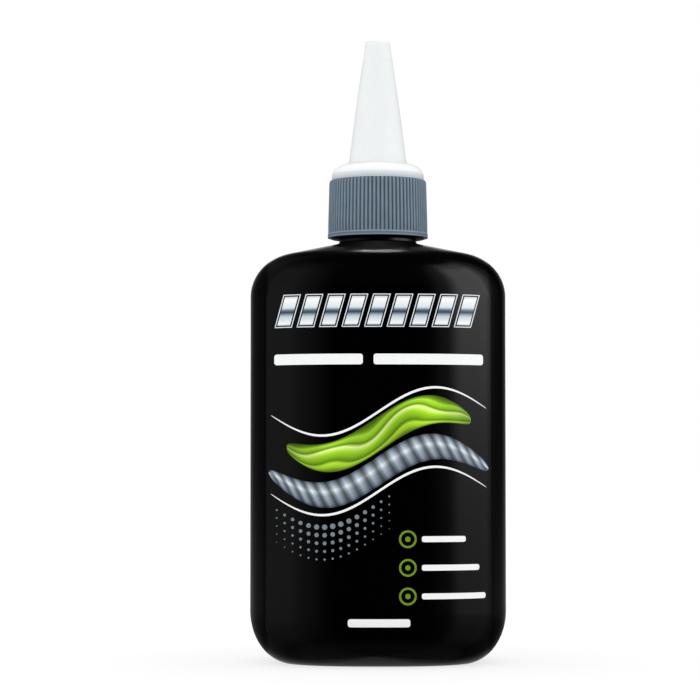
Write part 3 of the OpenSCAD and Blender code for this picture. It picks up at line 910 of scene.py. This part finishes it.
def printed(drawing, count=1, step=(0, 0, 0)):
    """The mesh of a drawing once it lies on the film"""
    label = settings("label")
    tree = bpy.data.node_groups.get("Lay Print on Film") or print_tree()
    film = bpy.data.objects["film"]
    material = drawing.data.materials[0]
    ink = {"lift": label.ink_gap, "ink": label.ink_t, "material": material}
    return baked(drawing, tree, count=count, step=step, film=film, **ink)


def joined(name, meshes, replaced):
    """One piece of ink made of several printed meshes"""
    whole = bmesh.new()
    materials = []
    for mesh in meshes:
        ink = [material for material in mesh.materials if material is not None]
        start = len(whole.faces)
        whole.from_mesh(mesh)
        for material in ink:
            if material not in materials:
                materials.append(material)
        whole.faces.ensure_lookup_table()
        for face in whole.faces[start:]:
            face.material_index = materials.index(ink[0])
        bpy.data.meshes.remove(mesh)
    mesh = bpy.data.meshes.new(name)
    whole.to_mesh(mesh)
    whole.free()
    return dressed(name, mesh, materials, "bottle", replaced, 40)


def white_print():
    """White lines, thin ribbons, word bars and the bar near the foot"""
    label = settings("label")
    ink = plain_ink("ink_white", label.white_tint, 0.3)
    side = label.half_w - label.margin
    line_z = label.top - BAR_DROP - label.bar_h - LINE_DROP
    line_top = line_z + label.line_h
    note_z = label.low + NOTE_RISE
    note_top = note_z + label.note_h
    drawings = [
        rounded_bar("line_left", -side, line_z, LINE_ENDS[0], line_top, LINE_ROUND, ink),
        rounded_bar("line_right", LINE_ENDS[1], line_z, side, line_top, LINE_ROUND, ink),
        ribbon("thread_high", *HIGH_THREAD, ink, 2),
        ribbon("thread_low", *LOW_THREAD, ink, 2),
        rounded_bar("note", -label.note_half, note_z, label.note_half, note_top, LINE_ROUND, ink),
    ]
    word_x = label.ring_x + WORD_AWAY
    for k, margin in enumerate(WORD_MARGINS):
        middle = label.low + RING_RISE + k * label.ring_step
        low_z, high_z = middle - label.word_h / 2, middle + label.word_h / 2
        drawings.append(rounded_bar("word", word_x, low_z, label.half_w - margin, high_z, WORD_ROUND, ink))
    return joined("print_white", [printed(d) for d in drawings], "label_print_white")


def silver_print():
    """Slanted bars and the lower ribbon"""
    label = settings("label")
    side = label.half_w - label.margin
    step = (2 * side - 1.4 * MM) / label.bar_n
    bar_z = label.top - BAR_DROP - label.bar_h
    chrome = banded_ink("ink_chrome", CHROME_BANDS, 0.2)
    satin = banded_ink("ink_silver", SILVER_BANDS, 0.25, SILVER_TWIST, 19, 1.1)
    pale = plain_ink("ink_silver_line", label.line_tint, 0.25)
    grey = plain_ink("ink_silver_dots", label.silver_tint, 0.3)
    sizes = (-side, bar_z, step - label.bar_gap, label.bar_h, label.bar_slant)
    drawings = [
        slanted_bar("bar", *sizes, label.bar_inset, chrome),
        slanted_frame("bar_frame", *sizes, label.frame_line, pale),
    ]
    meshes = [printed(drawing, label.bar_n, (step, 0, 0)) for drawing in drawings]
    meshes.append(printed(ribbon("ribbon_silver", *SILVER_RIBBON, satin, 12)))
    meshes.append(printed(dot_field("dots", grey)))
    return joined("print_silver", meshes, "label_print_silver")


def lime_print():
    """The upper ribbon and the small rings"""
    label = settings("label")
    fluid = banded_ink("ink_lime_ribbon", LIME_BANDS, 0.2, LIME_ALONG, 0.999, 0, 0.2)
    plain = plain_ink("ink_lime", label.lime_tint, 0.3)
    ring_z = label.low + RING_RISE
    ring = small_ring("ring", label.ring_x, ring_z, label.ring_r, label.ring_line, plain)
    middle = dot("ring_middle", label.ring_x, ring_z, 0.3 * label.ring_r, plain)
    meshes = [printed(ribbon("ribbon_lime", *LIME_RIBBON, fluid, 14))]
    up = (0, 0, label.ring_step)
    meshes += [printed(drawing, len(WORD_MARGINS), up) for drawing in (ring, middle)]
    return joined("print_lime", meshes, "label_print_lime")


# The closure


def skirt_radii(body, sizes, closure):
    """Inner and outer radius of the cap's skirt"""
    inner = body.root_r + sizes.depth + sizes.play
    return inner, inner + closure.skirt_t


def sleeve_outline(closure, inner_r):
    """Radius, height, share of the groove's depth and painted tone of each row, up the outside and down the
    inside; a negative tone paints a highlight, a positive one paints shade
    """
    lean = (SLEEVE_LOW_R - closure.sleeve_top_r) / (DECK_Z - SLEEVE_Z)
    edge = 0.1 * MM
    band_z = SLEEVE_Z + closure.band_h
    # Painted light and shade: light paints highlights along the lower edge and the band's edges, dark paints
    # shade over the band's middle
    light, dark = -0.5, 0.5
    rows = [(inner_r, SLEEVE_Z, 0, 0)]
    for turn in np.linspace(0, math.pi / 2, 5):
        r = SLEEVE_LOW_R - edge * (1 - math.sin(turn))
        rows.append((r, SLEEVE_Z + edge * (1 - math.cos(turn)), 0, light))
    band_r = SLEEVE_LOW_R - closure.rim
    rows += [
        (SLEEVE_LOW_R, SLEEVE_Z + 1.6 * edge, 0, light),
        (band_r, SLEEVE_Z + 2.4 * edge, 0, 0),
        (band_r, SLEEVE_Z + 2.8 * edge, 0, dark),
        (band_r, band_z - 2.4 * edge, 0, dark),
        (band_r, band_z - 2 * edge, 0, light),
        (band_r, band_z - 0.8 * edge, 0, light),
        (band_r - closure.ledge, band_z, 0, 0),
    ]
    foot_r = band_r - closure.ledge
    for rise, depth in ((0.3, 0.04), (0.7, 0.4), (1.1, 0.8), (1.5, 1)):
        rows.append((foot_r, band_z + rise * edge, depth, 0))
    round_z = DECK_Z - closure.round_down
    for z in np.linspace(band_z + 3 * edge, round_z, 8):
        rows.append((min(foot_r, SLEEVE_LOW_R - lean * (z - SLEEVE_Z) - 0.04 * MM), z, 1, 0))
    edge_rows = quarter(rows[-1][0], DECK_Z, closure.round_in, closure.round_down, 9)
    rows += [(r, z, 1, 0) for r, z in edge_rows[1:]]
    rows.append((inner_r, DECK_Z, 0, 0))
    return rows


def ribbed_sleeve():
    """The grey sleeve with its fine ribs"""
    body, sizes, closure = settings("body"), settings("thread"), settings("closure")
    inner_r = skirt_radii(body, sizes, closure)[1] + 0.02 * MM
    half_pitch = math.pi * SLEEVE_LOW_R / closure.groove_n
    bottom = 0.2 * closure.groove_w
    top = 0.5 * closure.groove_w
    # Distances from the middle of a groove, and the share of the depth there
    shape = [(0, 1), (bottom * 0.8, 1), (bottom * 1.2, 0.93), (0.3 * closure.groove_w, 0.62)]
    shape += [(0.42 * closure.groove_w, 0.22), (top, 0.04), (top + 0.06 * MM, 0)]
    offsets = [d - half_pitch for d, _ in shape] + [half_pitch - d for d, _ in shape[::-1]]
    depths = [s for _, s in shape] + [s for _, s in shape[::-1]]
    rows = sleeve_outline(closure, inner_r)
    # Painted shade and highlight: each point keeps its share of the groove's depth plus its row's painted
    # tone, stored as the attribute groove
    points, painted_shading = [], []
    for r, z, cut, painted_tone in rows:
        for offset, depth in zip(offsets, depths):
            angle = offset / half_pitch * math.pi / closure.groove_n
            radius = r - closure.groove_d * cut * depth
            points.append((radius * math.cos(angle), radius * math.sin(angle), z))
            painted_shading.append(cut * depth + painted_tone)
    # The last row joins the first
    faces = [[k % len(points) for k in face] for face in grid_faces(len(rows) + 1, len(offsets))]
    mesh = bpy.data.meshes.new("rib")
    mesh.from_pydata(points, [], faces)
    mesh.attributes.new("groove", "FLOAT", "POINT").data.foreach_set("value", painted_shading)
    rib = placed("rib", mesh)
    material = grey_plastic("sleeve_grey", closure.sleeve_tint)
    turn = 2 * math.pi / closure.groove_n
    ring = baked(rib, rib_tree(), count=closure.groove_n, turn=turn, material=material)
    return dressed("ribbed_sleeve", ring, [material], "closure", "grip_sleeve", 50)


def cone_r(closure, z):
    """Outer radius of the cover at a height"""
    u = (z - COVER_Z) / (COVER_TOP - COVER_Z)
    side = closure.cover_low_r + (closure.cover_top_r - closure.cover_low_r) * u
    return side + closure.cover_belly * math.sin(math.pi * u)


def spout_cap():
    """The white cap: plug, threaded skirt, disc, dome and drip nozzle"""
    body, sizes, closure = settings("body"), settings("thread"), settings("closure")
    columns = closure.columns
    skirt_in, skirt_out = skirt_radii(body, sizes, closure)
    skirt_z = SLEEVE_Z + 0.2 * MM
    plug_out = body.bore_r - closure.plug_play
    plug_in = plug_out - closure.plug_t
    plug_z = LIP_Z - closure.plug_h
    disc_top = DECK_Z + closure.disc_h
    seat_z = COVER_Z - closure.seat_gap
    seat_r = LIP_R + 0.1 * MM
    stem_top = COVER_TOP - closure.tip_t - 0.4 * MM
    stem_low_r = cone_r(closure, COVER_Z) - closure.cover_t - closure.stem_play
    stem_top_r = cone_r(closure, stem_top) - closure.cover_t - closure.stem_play
    first = LIP_Z - sizes.lead_in - sizes.turns * sizes.pitch - sizes.pitch / 2
    fine = 0.12 * MM
    start = [
        (plug_in, DECK_Z, 0),
        (plug_in, plug_z, fine),
        (plug_out, plug_z, 2 * fine),
        (plug_out, DECK_Z, fine),
        (skirt_in, DECK_Z, fine),
        (skirt_in, skirt_z, 0),
    ]
    rings = circles(rounded(start)[1:-1], columns)
    crest_r = skirt_in - sizes.depth
    rings += threaded_wall(DECK_Z - 0.3 * MM, skirt_z + 0.2 * MM, skirt_in, crest_r, first, columns, sizes)
    rim_r = closure.disc_r - closure.disc_lean
    outside = [
        (skirt_in, skirt_z + 0.2 * MM, 0),
        (skirt_in, skirt_z, fine),
        (skirt_out, skirt_z, fine),
        (skirt_out, DECK_Z, 0),
        (closure.disc_r, DECK_Z, 0.05 * MM),
        (rim_r, disc_top - closure.disc_round, 0),
    ]
    rings += circles(rounded(outside)[1:-1], columns)
    rings += circles(quarter(rim_r, disc_top, closure.disc_round, closure.disc_round, 8), columns)
    dome_r = rim_r - closure.disc_round
    rings += circles(quarter(dome_r, seat_z, dome_r - seat_r, seat_z - disc_top, 14)[1:], columns)
    stem = [
        (seat_r, seat_z, 0),
        (stem_low_r, seat_z, 2 * fine),
        (stem_top_r, stem_top, 3 * fine),
        (closure.orifice_r, stem_top, fine),
        (closure.orifice_r, stem_top - closure.orifice_h, 0),
        (closure.channel_r, seat_z, 0),
        (plug_in, DECK_Z, 0),
    ]
    rings += circles(rounded(stem)[1:], columns)
    points, faces = skin(rings, loop=True)
    # Painted shade: the disc's wall is tinted darker and bluer towards the sleeve under it, and white at its
    # top
    painted_shade_by_height = (
        (DECK_Z - 0.2 * MM, (0.54, 0.59, 0.62)),
        (DECK_Z + 0.2 * MM, (0.6, 0.64, 0.67)),
        (disc_top - 0.2 * MM, (0.8, 0.825, 0.84)),
        (disc_top, (1, 1, 1)),
    )
    material = white_plastic("cap_white", closure.cap_tint, 0.3, painted_shade_by_height)
    return finished("cap", points, faces, material, "closure", "spout_cap")


def tip_cover():
    """The white cone with its lip, closed tip and sealing pin"""
    closure = settings("closure")
    inside_top = COVER_TOP - closure.tip_t
    side_z = COVER_Z + 2 * closure.lip_h
    pin_r = closure.orifice_r - closure.pin_play
    gate_r, gate_d = 0.7 * MM, 0.15 * MM
    outline = [(cone_r(closure, z) - closure.cover_t, z) for z in np.linspace(inside_top, COVER_Z, 24)]
    lip = [
        (cone_r(closure, COVER_Z) - closure.cover_t, COVER_Z, 0),
        (LIP_R, COVER_Z, 0.04 * MM),
        (LIP_R, COVER_Z + 0.6 * closure.lip_h, 0.12 * MM),
        (cone_r(closure, side_z) + 0.04 * MM, COVER_Z + 1.1 * closure.lip_h, 0.25 * MM),
        (cone_r(closure, side_z + 1 * MM), side_z + 1 * MM, 0),
    ]
    outline += rounded(lip, 6)[1:]
    tip_z = COVER_TOP - closure.tip_round
    outline += [(cone_r(closure, z), z) for z in np.linspace(side_z + 2 * MM, tip_z, 24)]
    outline += quarter(cone_r(closure, tip_z), COVER_TOP, closure.tip_round, closure.tip_round, 8)[1:]
    outline += [
        (gate_r + 0.15 * MM, COVER_TOP),
        (gate_r, COVER_TOP - gate_d * 0.6),
        (gate_r - 0.1 * MM, COVER_TOP - gate_d),
        (0.25 * MM, COVER_TOP - gate_d),
        (0.18 * MM, COVER_TOP - gate_d * 0.3),
        (0, COVER_TOP - gate_d * 0.2),
    ]
    pin_z, bevel = inside_top - closure.pin_h, 0.1 * MM
    pin = [
        (0, pin_z),
        (pin_r - bevel, pin_z),
        (pin_r, pin_z + bevel),
        (pin_r, inside_top - bevel),
        (pin_r + bevel, inside_top),
    ]
    points, faces = skin(circles(pin + outline, closure.columns))
    material = white_plastic("cover_white", closure.cover_tint, 0.26)
    return finished("cover", points, faces, material, "cover", "tip_cover")


def seal_ring():
    """The flat liner between the neck and the cap"""
    closure = settings("closure")
    low_z, high_z = low("seal_ring", 2), high("seal_ring", 2)
    outer = high("seal_ring", 0)
    inner = settings("body").bore_r
    soft = 0.12 * MM
    corners = [(inner, high_z), (inner, low_z), (outer, low_z), (outer, high_z)]
    outline = rounded([(*corner, soft) for corner in corners])
    points, faces = skin(circles(outline, closure.columns), loop=True)
    material = foam_liner("liner_foam", closure.seal_tint)
    return finished("seal", points, faces, material, "seal", "seal_ring")


# Materials


def new_material(name):
    """A material and its object coordinates"""
    material = bpy.data.materials.new(name)
    material.use_nodes = True
    return material, add(material.node_tree, "ShaderNodeTexCoord").outputs["Object"]


def painted(material, inputs):
    """The material, once its shader has its inputs"""
    feed(material.node_tree.nodes["Principled BSDF"], inputs)
    return material


def black_plastic(name, body, neck_z, bead_z):
    """Satin black polyethylene, polished on its broad faces, matt round the neck's foot and on the bead"""
    material, place = new_material(name)
    flow = noise(place, 260, 4, (1, 1, 0.12))
    x, y, z = split(place)
    polish_from, polish_to = body.polish_half - body.polish_soft, body.polish_half + body.polish_soft
    polish = spread(maths("ABSOLUTE", x), 0.9, 0.2, polish_from, polish_to)
    radius = maths("SQRT", maths("MULTIPLY_ADD", y, y, maths("MULTIPLY", x, x)))
    clear_r = body.neck_r + body.neck_flare + 0.8 * MM
    outside = spread(radius, 0, 1, clear_r - 0.4 * MM, clear_r + 0.9 * MM)
    above = spread(z, 0, 1, neck_z - 0.1 * MM, neck_z)
    from_bead = maths("ABSOLUTE", maths("SUBTRACT", z, bead_z + body.bead_t / 2))
    off_bead = spread(from_bead, 0, 1, 0.2 * MM, 0.3 * MM)
    open_face = maths("MULTIPLY", maths("MAXIMUM", outside, above), off_bead)
    inputs = {
        "IOR": 1.1,
        "Coat IOR": 1.5,
        "Coat Roughness": 0.11,
        "Coat Weight": maths("MULTIPLY", polish, open_face),
        "Base Color": tinted(flow, body.tint, 0.8, 1.3),
        "Roughness": spread(flow, 0.36, 0.46),
        "Normal": grain(noise(place, 2600, 2), 0.0015 * MM, 0.5),
    }
    return painted(material, inputs)


def glossy_film(name, tint):
    """Glossy black film with a very slight waviness"""
    material, place = new_material(name)
    wavy = noise(place, 90, 2, (1, 1, 0.4))
    inputs = {
        "IOR": 1.5,
        "Base Color": tinted(wavy, tint, 0.9, 1.2),
        "Roughness": spread(noise(place, 1500, 3), 0.1, 0.15),
        "Normal": grain(wavy, 0.01 * MM, 0.5),
    }
    return painted(material, inputs)


def plain_ink(name, tint, roughness):
    """One ink under the film's gloss, with a faint mottle"""
    material, place = new_material(name)
    mottle = noise(place, 1400, 4)
    inputs = {
        "IOR": 1.5,
        "Base Color": tinted(mottle, tint, 0.98, 1.01),
        "Roughness": spread(mottle, roughness - 0.03, roughness + 0.03),
        "Normal": grain(mottle, 0.001 * MM, 0.3),
    }
    return painted(material, inputs)


# Place across a drawing and colour there, from its lower edge to its upper edge
CHROME_BANDS = (
    (0.0, (0.5, 0.56, 0.6)),
    (0.06, (0.95, 0.97, 1.0)),
    (0.3, (0.55, 0.64, 0.7)),
    (0.44, (0.035, 0.055, 0.09)),
    (0.52, (0.11, 0.17, 0.23)),
    (0.62, (0.75, 0.82, 0.87)),
    (0.9, (1.0, 1.0, 1.0)),
    (1.0, (0.6, 0.65, 0.7)),
)
SILVER_BANDS = (
    (0.0, (0.04, 0.055, 0.075)),
    (0.12, (0.16, 0.2, 0.25)),
    (0.45, (0.3, 0.36, 0.42)),
    (0.62, (0.62, 0.7, 0.76)),
    (0.72, (0.4, 0.47, 0.53)),
    (0.9, (0.2, 0.25, 0.3)),
    (1.0, (0.06, 0.08, 0.1)),
)
LIME_BANDS = (
    (0.0, (0.05, 0.11, 0.002)),
    (0.06, (0.3, 0.55, 0.01)),
    (0.12, (0.42, 0.74, 0.03)),
    (0.19, (0.1, 0.22, 0.003)),
    (0.3, (0.22, 0.46, 0.007)),
    (0.44, (0.33, 0.68, 0.012)),
    (0.54, (0.6, 0.88, 0.1)),
    (0.6, (0.86, 0.97, 0.5)),
    (0.65, (0.42, 0.74, 0.03)),
    (0.7, (0.11, 0.25, 0.003)),
    (0.76, (0.26, 0.54, 0.008)),
    (0.87, (0.4, 0.76, 0.03)),
    (0.93, (0.16, 0.34, 0.004)),
    (1.0, (0.05, 0.1, 0.002)),
)

# Place along a drawing and level there, and the same for one twist of the silver ribbon
LIME_ALONG = (
    (0, 0.45), (0.12, 0.8), (0.24, 1.15), (0.4, 0.85),
    (0.55, 0.8), (0.76, 1.25), (0.9, 0.85), (1, 0.5),
)
SILVER_TWIST = ((0, 0.25), (0.1, 0.5), (0.45, 1.35), (0.62, 1.0), (0.88, 0.45), (1, 0.25))


def banded_ink(name, bands, roughness, along=None, twists=1, lean=0.0, swirl=0.0):
    """An ink in soft bands across its drawing, lighter and darker along it, with a swirl of the bands"""
    material, place = new_material(name)
    u, v, _ = split(add(material.node_tree, "ShaderNodeUVMap", uv_map="print").outputs["UV"])
    inner = maths("MULTIPLY", maths("MULTIPLY", v, maths("SUBTRACT", 1, v)), 4 * swirl)
    swing = maths("SINE", maths("MULTIPLY_ADD", u, 5 * math.pi, 0.8))
    tint = ramp(maths("MULTIPLY_ADD", swing, inner, v), bands)
    if along is not None:
        turn = maths("FRACT", maths("MULTIPLY_ADD", u, twists, maths("MULTIPLY", v, lean)))
        tint = shaded(tint, level_curve(turn, along))
    rough = spread(noise(place, 1400, 4), roughness - 0.04, roughness + 0.04)
    return painted(material, {"IOR": 1.5, "Base Color": tint, "Roughness": rough})


def grey_plastic(name, tint):
    """Satin grey plastic of the sleeve, with painted shade in the grooves and painted light and shade along
    the band
    """
    material, place = new_material(name)
    cloud = noise(place, 420, 4)
    groove = add(material.node_tree, "ShaderNodeAttribute", attribute_name="groove").outputs["Fac"]
    inputs = {
        "IOR": 1.35,
        # Painted shade and highlight: the groove attribute darkens the grooves and the band's middle and
        # lightens the band's edges
        "Base Color": shaded(tinted(cloud, tint, 0.93, 1.06), spread(groove, 1.55, 0.62, -0.5, 0.9)),
        "Roughness": spread(cloud, 0.36, 0.46),
        "Normal": grain(noise(place, 4200, 2), 0.003 * MM, 0.6),
    }
    return painted(material, inputs)


def white_plastic(name, tint, roughness, painted_shade_by_height=None):
    """Natural white plastic that lets in a little light, with painted shade by height where stops are given
    """
    material, place = new_material(name)
    cloud = noise(place, 240, 4, (1, 1, 0.3))
    base = tinted(cloud, tint, 0.985, 1.01)
    if painted_shade_by_height is not None:
        # Painted shade: the colour is darkened and tinted by height through the given stops
        base = shaded(base, level_curve(split(place)["Z"], painted_shade_by_height))
    inputs = {
        "IOR": 1.25,
        "Subsurface Weight": 0.5,
        "Subsurface Radius": (1.0, 0.9, 0.8),
        "Subsurface Scale": 0.6 * MM,
        "Base Color": base,
        "Roughness": spread(cloud, roughness - 0.03, roughness + 0.05),
        "Normal": grain(noise(place, 2400, 3), 0.003 * MM, 0.4),
    }
    return painted(material, inputs)


def foam_liner(name, tint):
    """Fine closed foam of the seal"""
    material, place = new_material(name)
    fine = {"Vector": place, "Scale": 5200}
    cells = add(material.node_tree, "ShaderNodeTexVoronoi", fine).outputs["Distance"]
    inputs = {
        "Base Color": tinted(cells, tint, 0.9, 1.05),
        "Roughness": 0.75,
        "Normal": grain(cells, 0.02 * MM, 0.5),
    }
    return painted(material, inputs)


# Stage


# Level of each light round the compass, 0 in front of the label and positive to the right, in degrees,
# and with the height over the horizon
RIGHT_BOX_ROUND = ((22, 0), (38, 0.14), (56, 1), (92, 0.9), (106, 0.35), (120, 0.08), (138, 0))
RIGHT_BOX_UP = (
    (-60, 0.02), (-30, 0.08), (-8, 0.12), (-2.5, 0.2), (0.2, 0.3),
    (2, 0.56), (4, 1), (46, 1), (56, 0.5), (66, 0),
)
LEFT_BOX_ROUND = ((-168, 0), (-140, 0.3), (-116, 0.35), (-92, 0.85), (-66, 1), (-36, 0.42), (-20, 0))
LEFT_BOX_UP = ((-60, 0.15), (-30, 0.5), (-8, 0.8), (4, 1), (44, 0.9), (58, 0.45), (72, 0))
BACKDROP_ROUND = ((146, 0), (164, 0.4), (174, 1), (180, 1))
BACKDROP_UP = ((-6, 0.3), (0, 1), (8, 1), (14, 0.5), (18, 0.1), (24, 0.06), (32, 0.05), (36, 0))
SWEEP_ROUND = ((104, 0), (119, 0.8), (136, 0.7), (150, 1), (180, 1))
SWEEP_UP = ((-60, 0.06), (-24, 0.1), (-9, 0.3), (-5, 0.75), (-2.8, 1), (-1.7, 0.45), (-0.4, 0.12), (1, 0))
TABLE_ROUND = ((0, 1), (180, 1))
TABLE_UP = ((-90, 1), (-64, 1), (-50, 0))
# Level of everything else
DARK = 0.003


def reflected_studio(x, y, z):
    """What the gloss sees: a soft box on each side, a backdrop with its sweep, a table, and dark in front"""
    around = maths("MULTIPLY", maths("ARCTAN2", x, maths("MULTIPLY", y, -1)), 180 / math.pi)
    up = maths("MULTIPLY", maths("ARCSINE", z), 180 / math.pi)
    either_side = maths("ABSOLUTE", around)
    total = DARK
    for strength, across, stops_across, stops_up in (
        (1.35, around, RIGHT_BOX_ROUND, RIGHT_BOX_UP),
        (0.21, around, LEFT_BOX_ROUND, LEFT_BOX_UP),
        (0.8, either_side, BACKDROP_ROUND, BACKDROP_UP),
        (0.27, either_side, SWEEP_ROUND, SWEEP_UP),
        (0.035, either_side, TABLE_ROUND, TABLE_UP),
    ):
        lit = maths("MULTIPLY", level_curve(across, stops_across), level_curve(up, stops_up))
        total = maths("ADD", maths("MULTIPLY", lit, strength), total)
    return total


def studio_world():
    """White to the camera, even white light, and a small studio for the gloss"""
    looks = settings("stage")
    world = bpy.data.worlds.new("studio")
    bpy.context.scene.world = world
    world.use_nodes = True
    world.cycles.sampling_method = "NONE"
    path = add(world.node_tree, "ShaderNodeLightPath").outputs
    x, y, z = split(add(world.node_tree, "ShaderNodeTexCoord").outputs["Generated"])
    gloss = maths("MULTIPLY", path["Is Glossy Ray"], reflected_studio(x, y, z))
    even = maths("MULTIPLY_ADD", z, looks.ambient * 0.1, looks.ambient)
    matt = maths("SUBTRACT", 1, path["Is Glossy Ray"])
    lit = maths("ADD", gloss, maths("MULTIPLY", even, matt))
    seen = maths("MAXIMUM", path["Is Camera Ray"], path["Is Transmission Ray"])
    strength = maths("ADD", seen, maths("MULTIPLY", lit, maths("SUBTRACT", 1, seen)))
    feed(world.node_tree.nodes["Background"], {"Strength": strength, "Color": (1, 1, 1, 1)})


def shoulder_light():
    """A small lamp over the back that puts a highlight on the front of the shoulder, past the closure"""
    body, looks = settings("body"), settings("stage")
    data = bpy.data.lights.new("shoulder_light", "AREA")
    data.shape = "ELLIPSE"
    data.size = looks.lamp_w
    data.size_y = looks.lamp_h
    data.energy = looks.lamp_level * math.pi * math.pi / 4 * looks.lamp_w * looks.lamp_h
    data.use_shadow = False
    data.cycles.use_multiple_importance_sampling = False
    lamp = placed("shoulder_light", data)
    aim = Vector((0, -0.75 * body.half_d, shoulder_top(body) - 2 * MM))
    away = Vector((0, math.cos(looks.lamp_up), math.sin(looks.lamp_up)))
    lamp.location = aim + looks.lamp_far * away + Vector((looks.lamp_aside, 0, 0))
    lamp.rotation_euler = away.to_track_quat("Z", "Y").to_euler()


def studio_floor():
    """A pale floor that shows white to the camera and keeps the bottle's shadow"""
    looks = settings("stage")
    whole = bmesh.new()
    bmesh.ops.create_circle(whole, cap_ends=True, segments=96, radius=looks.floor_r)
    mesh = bpy.data.meshes.new("floor")
    whole.to_mesh(mesh)
    whole.free()
    material = bpy.data.materials.new("floor_pale")
    material.use_nodes = True
    tree = material.node_tree
    tree.nodes.clear()
    to_camera = add(tree, "ShaderNodeLightPath").outputs["Is Camera Ray"]
    lit = add(tree, "ShaderNodeBsdfDiffuse", {"Color": (*looks.floor_tint, 1)})
    white = add(tree, "ShaderNodeBsdfDiffuse", {"Color": (1, 1, 1, 1)})
    # Brightness at which the unshadowed floor comes out just white
    level = (1.005 - looks.shadow * looks.ambient) / (1 - looks.shadow)
    glow = add(tree, "ShaderNodeEmission", {"Strength": level})
    seen = add(tree, "ShaderNodeMixShader", {"Fac": looks.shadow, 1: glow, 2: white})
    either = add(tree, "ShaderNodeMixShader", {"Fac": to_camera, 1: lit, 2: seen})
    add(tree, "ShaderNodeOutputMaterial", {"Surface": either})
    mesh.materials.append(material)
    floor = placed("floor", mesh)
    floor.visible_glossy = False


def studio_camera():
    """The camera that the photo was taken with, as far as its outline tells"""
    looks = settings("stage")
    data = bpy.data.cameras.new("camera")
    data.lens = looks.lens
    data.sensor_width = 36
    data.clip_start = 10 * MM
    data.clip_end = 100
    camera = placed("camera", data)
    camera.location = (-looks.aside, -looks.distance, looks.height)
    camera.rotation_euler = (math.pi / 2 + looks.tilt, 0, 0)
    bpy.context.scene.camera = camera


# Operators


class BOTTLE_OT_body(bpy.types.Operator):
    """Build the blown bottle with its screw neck and hollow inside"""

    bl_idname = "bottle.body"
    bl_label = "Blown Bottle"

    def execute(self, context):
        bottle_shell()
        return {"FINISHED"}


class BOTTLE_OT_film(bpy.types.Operator):
    """Lay the glossy film on the front of the bottle"""

    bl_idname = "bottle.film"
    bl_label = "Front Film"

    def execute(self, context):
        front_film()
        return {"FINISHED"}


class BOTTLE_OT_print(bpy.types.Operator):
    """Print the white, silver and lime inks on the film"""

    bl_idname = "bottle.print"
    bl_label = "Print"

    def execute(self, context):
        white_print()
        silver_print()
        lime_print()
        return {"FINISHED"}


class BOTTLE_OT_sleeve(bpy.types.Operator):
    """Build the grey sleeve with its ring of ribs"""

    bl_idname = "bottle.sleeve"
    bl_label = "Ribbed Sleeve"

    def execute(self, context):
        ribbed_sleeve()
        return {"FINISHED"}


class BOTTLE_OT_cap(bpy.types.Operator):
    """Build the white cap with its thread and nozzle, and the seal in it"""

    bl_idname = "bottle.cap"
    bl_label = "Cap and Seal"

    def execute(self, context):
        spout_cap()
        seal_ring()
        return {"FINISHED"}


class BOTTLE_OT_cover(bpy.types.Operator):
    """Build the white cone that covers the nozzle"""

    bl_idname = "bottle.cover"
    bl_label = "Tip Cover"

    def execute(self, context):
        tip_cover()
        return {"FINISHED"}


class BOTTLE_OT_stage(bpy.types.Operator):
    """Set up the camera, the floor and the light"""

    bl_idname = "bottle.stage"
    bl_label = "Stage"

    def execute(self, context):
        studio_camera()
        studio_world()
        shoulder_light()
        studio_floor()
        for name in ("ribbed_sleeve", "cap", "cover", "seal"):
            bpy.data.objects[name].visible_glossy = False
        return {"FINISHED"}


class BOTTLE_PT_panel(bpy.types.Panel):
    """Lists what builds the bottle, with its sizes"""

    bl_idname = "BOTTLE_PT_panel"
    bl_label = "Chain Lube Bottle"
    bl_space_type = "VIEW_3D"
    bl_region_type = "UI"
    bl_category = "Bottle"

    def draw(self, context):
        for operator in OPERATORS:
            self.layout.operator(operator.bl_idname)
        for name, group in GROUPS.items():
            box = self.layout.box()
            box.label(text=group.__doc__)
            for field in group.__annotations__:
                box.prop(getattr(context.scene, "bottle_" + name), field)


GROUPS = {
    "body": BodySizes,
    "thread": ThreadSizes,
    "closure": ClosureSizes,
    "label": LabelSizes,
    "stage": StageLooks,
}
OPERATORS = (
    BOTTLE_OT_body,
    BOTTLE_OT_film,
    BOTTLE_OT_print,
    BOTTLE_OT_sleeve,
    BOTTLE_OT_cap,
    BOTTLE_OT_cover,
    BOTTLE_OT_stage,
)


def register():
    """Adds the classes and gives the scene its sizes and looks"""
    for entry in (*GROUPS.values(), *OPERATORS, BOTTLE_PT_panel):
        bpy.utils.register_class(entry)
    for name, group in GROUPS.items():
        setattr(bpy.types.Scene, "bottle_" + name, PointerProperty(type=group))


def unregister():
    """Takes away what register adds"""
    for name in GROUPS:
        delattr(bpy.types.Scene, "bottle_" + name)
    for entry in (BOTTLE_PT_panel, *OPERATORS[::-1], *GROUPS.values()):
        bpy.utils.unregister_class(entry)


def main():
    """Builds the whole bottle and its stage"""
    register()
    scene = bpy.context.scene
    scene.view_settings.view_transform = "Standard"
    for operator in OPERATORS:
        family, name = operator.bl_idname.split(".")
        getattr(getattr(bpy.ops, family), name)()


if __name__ == "__main__":
    main()
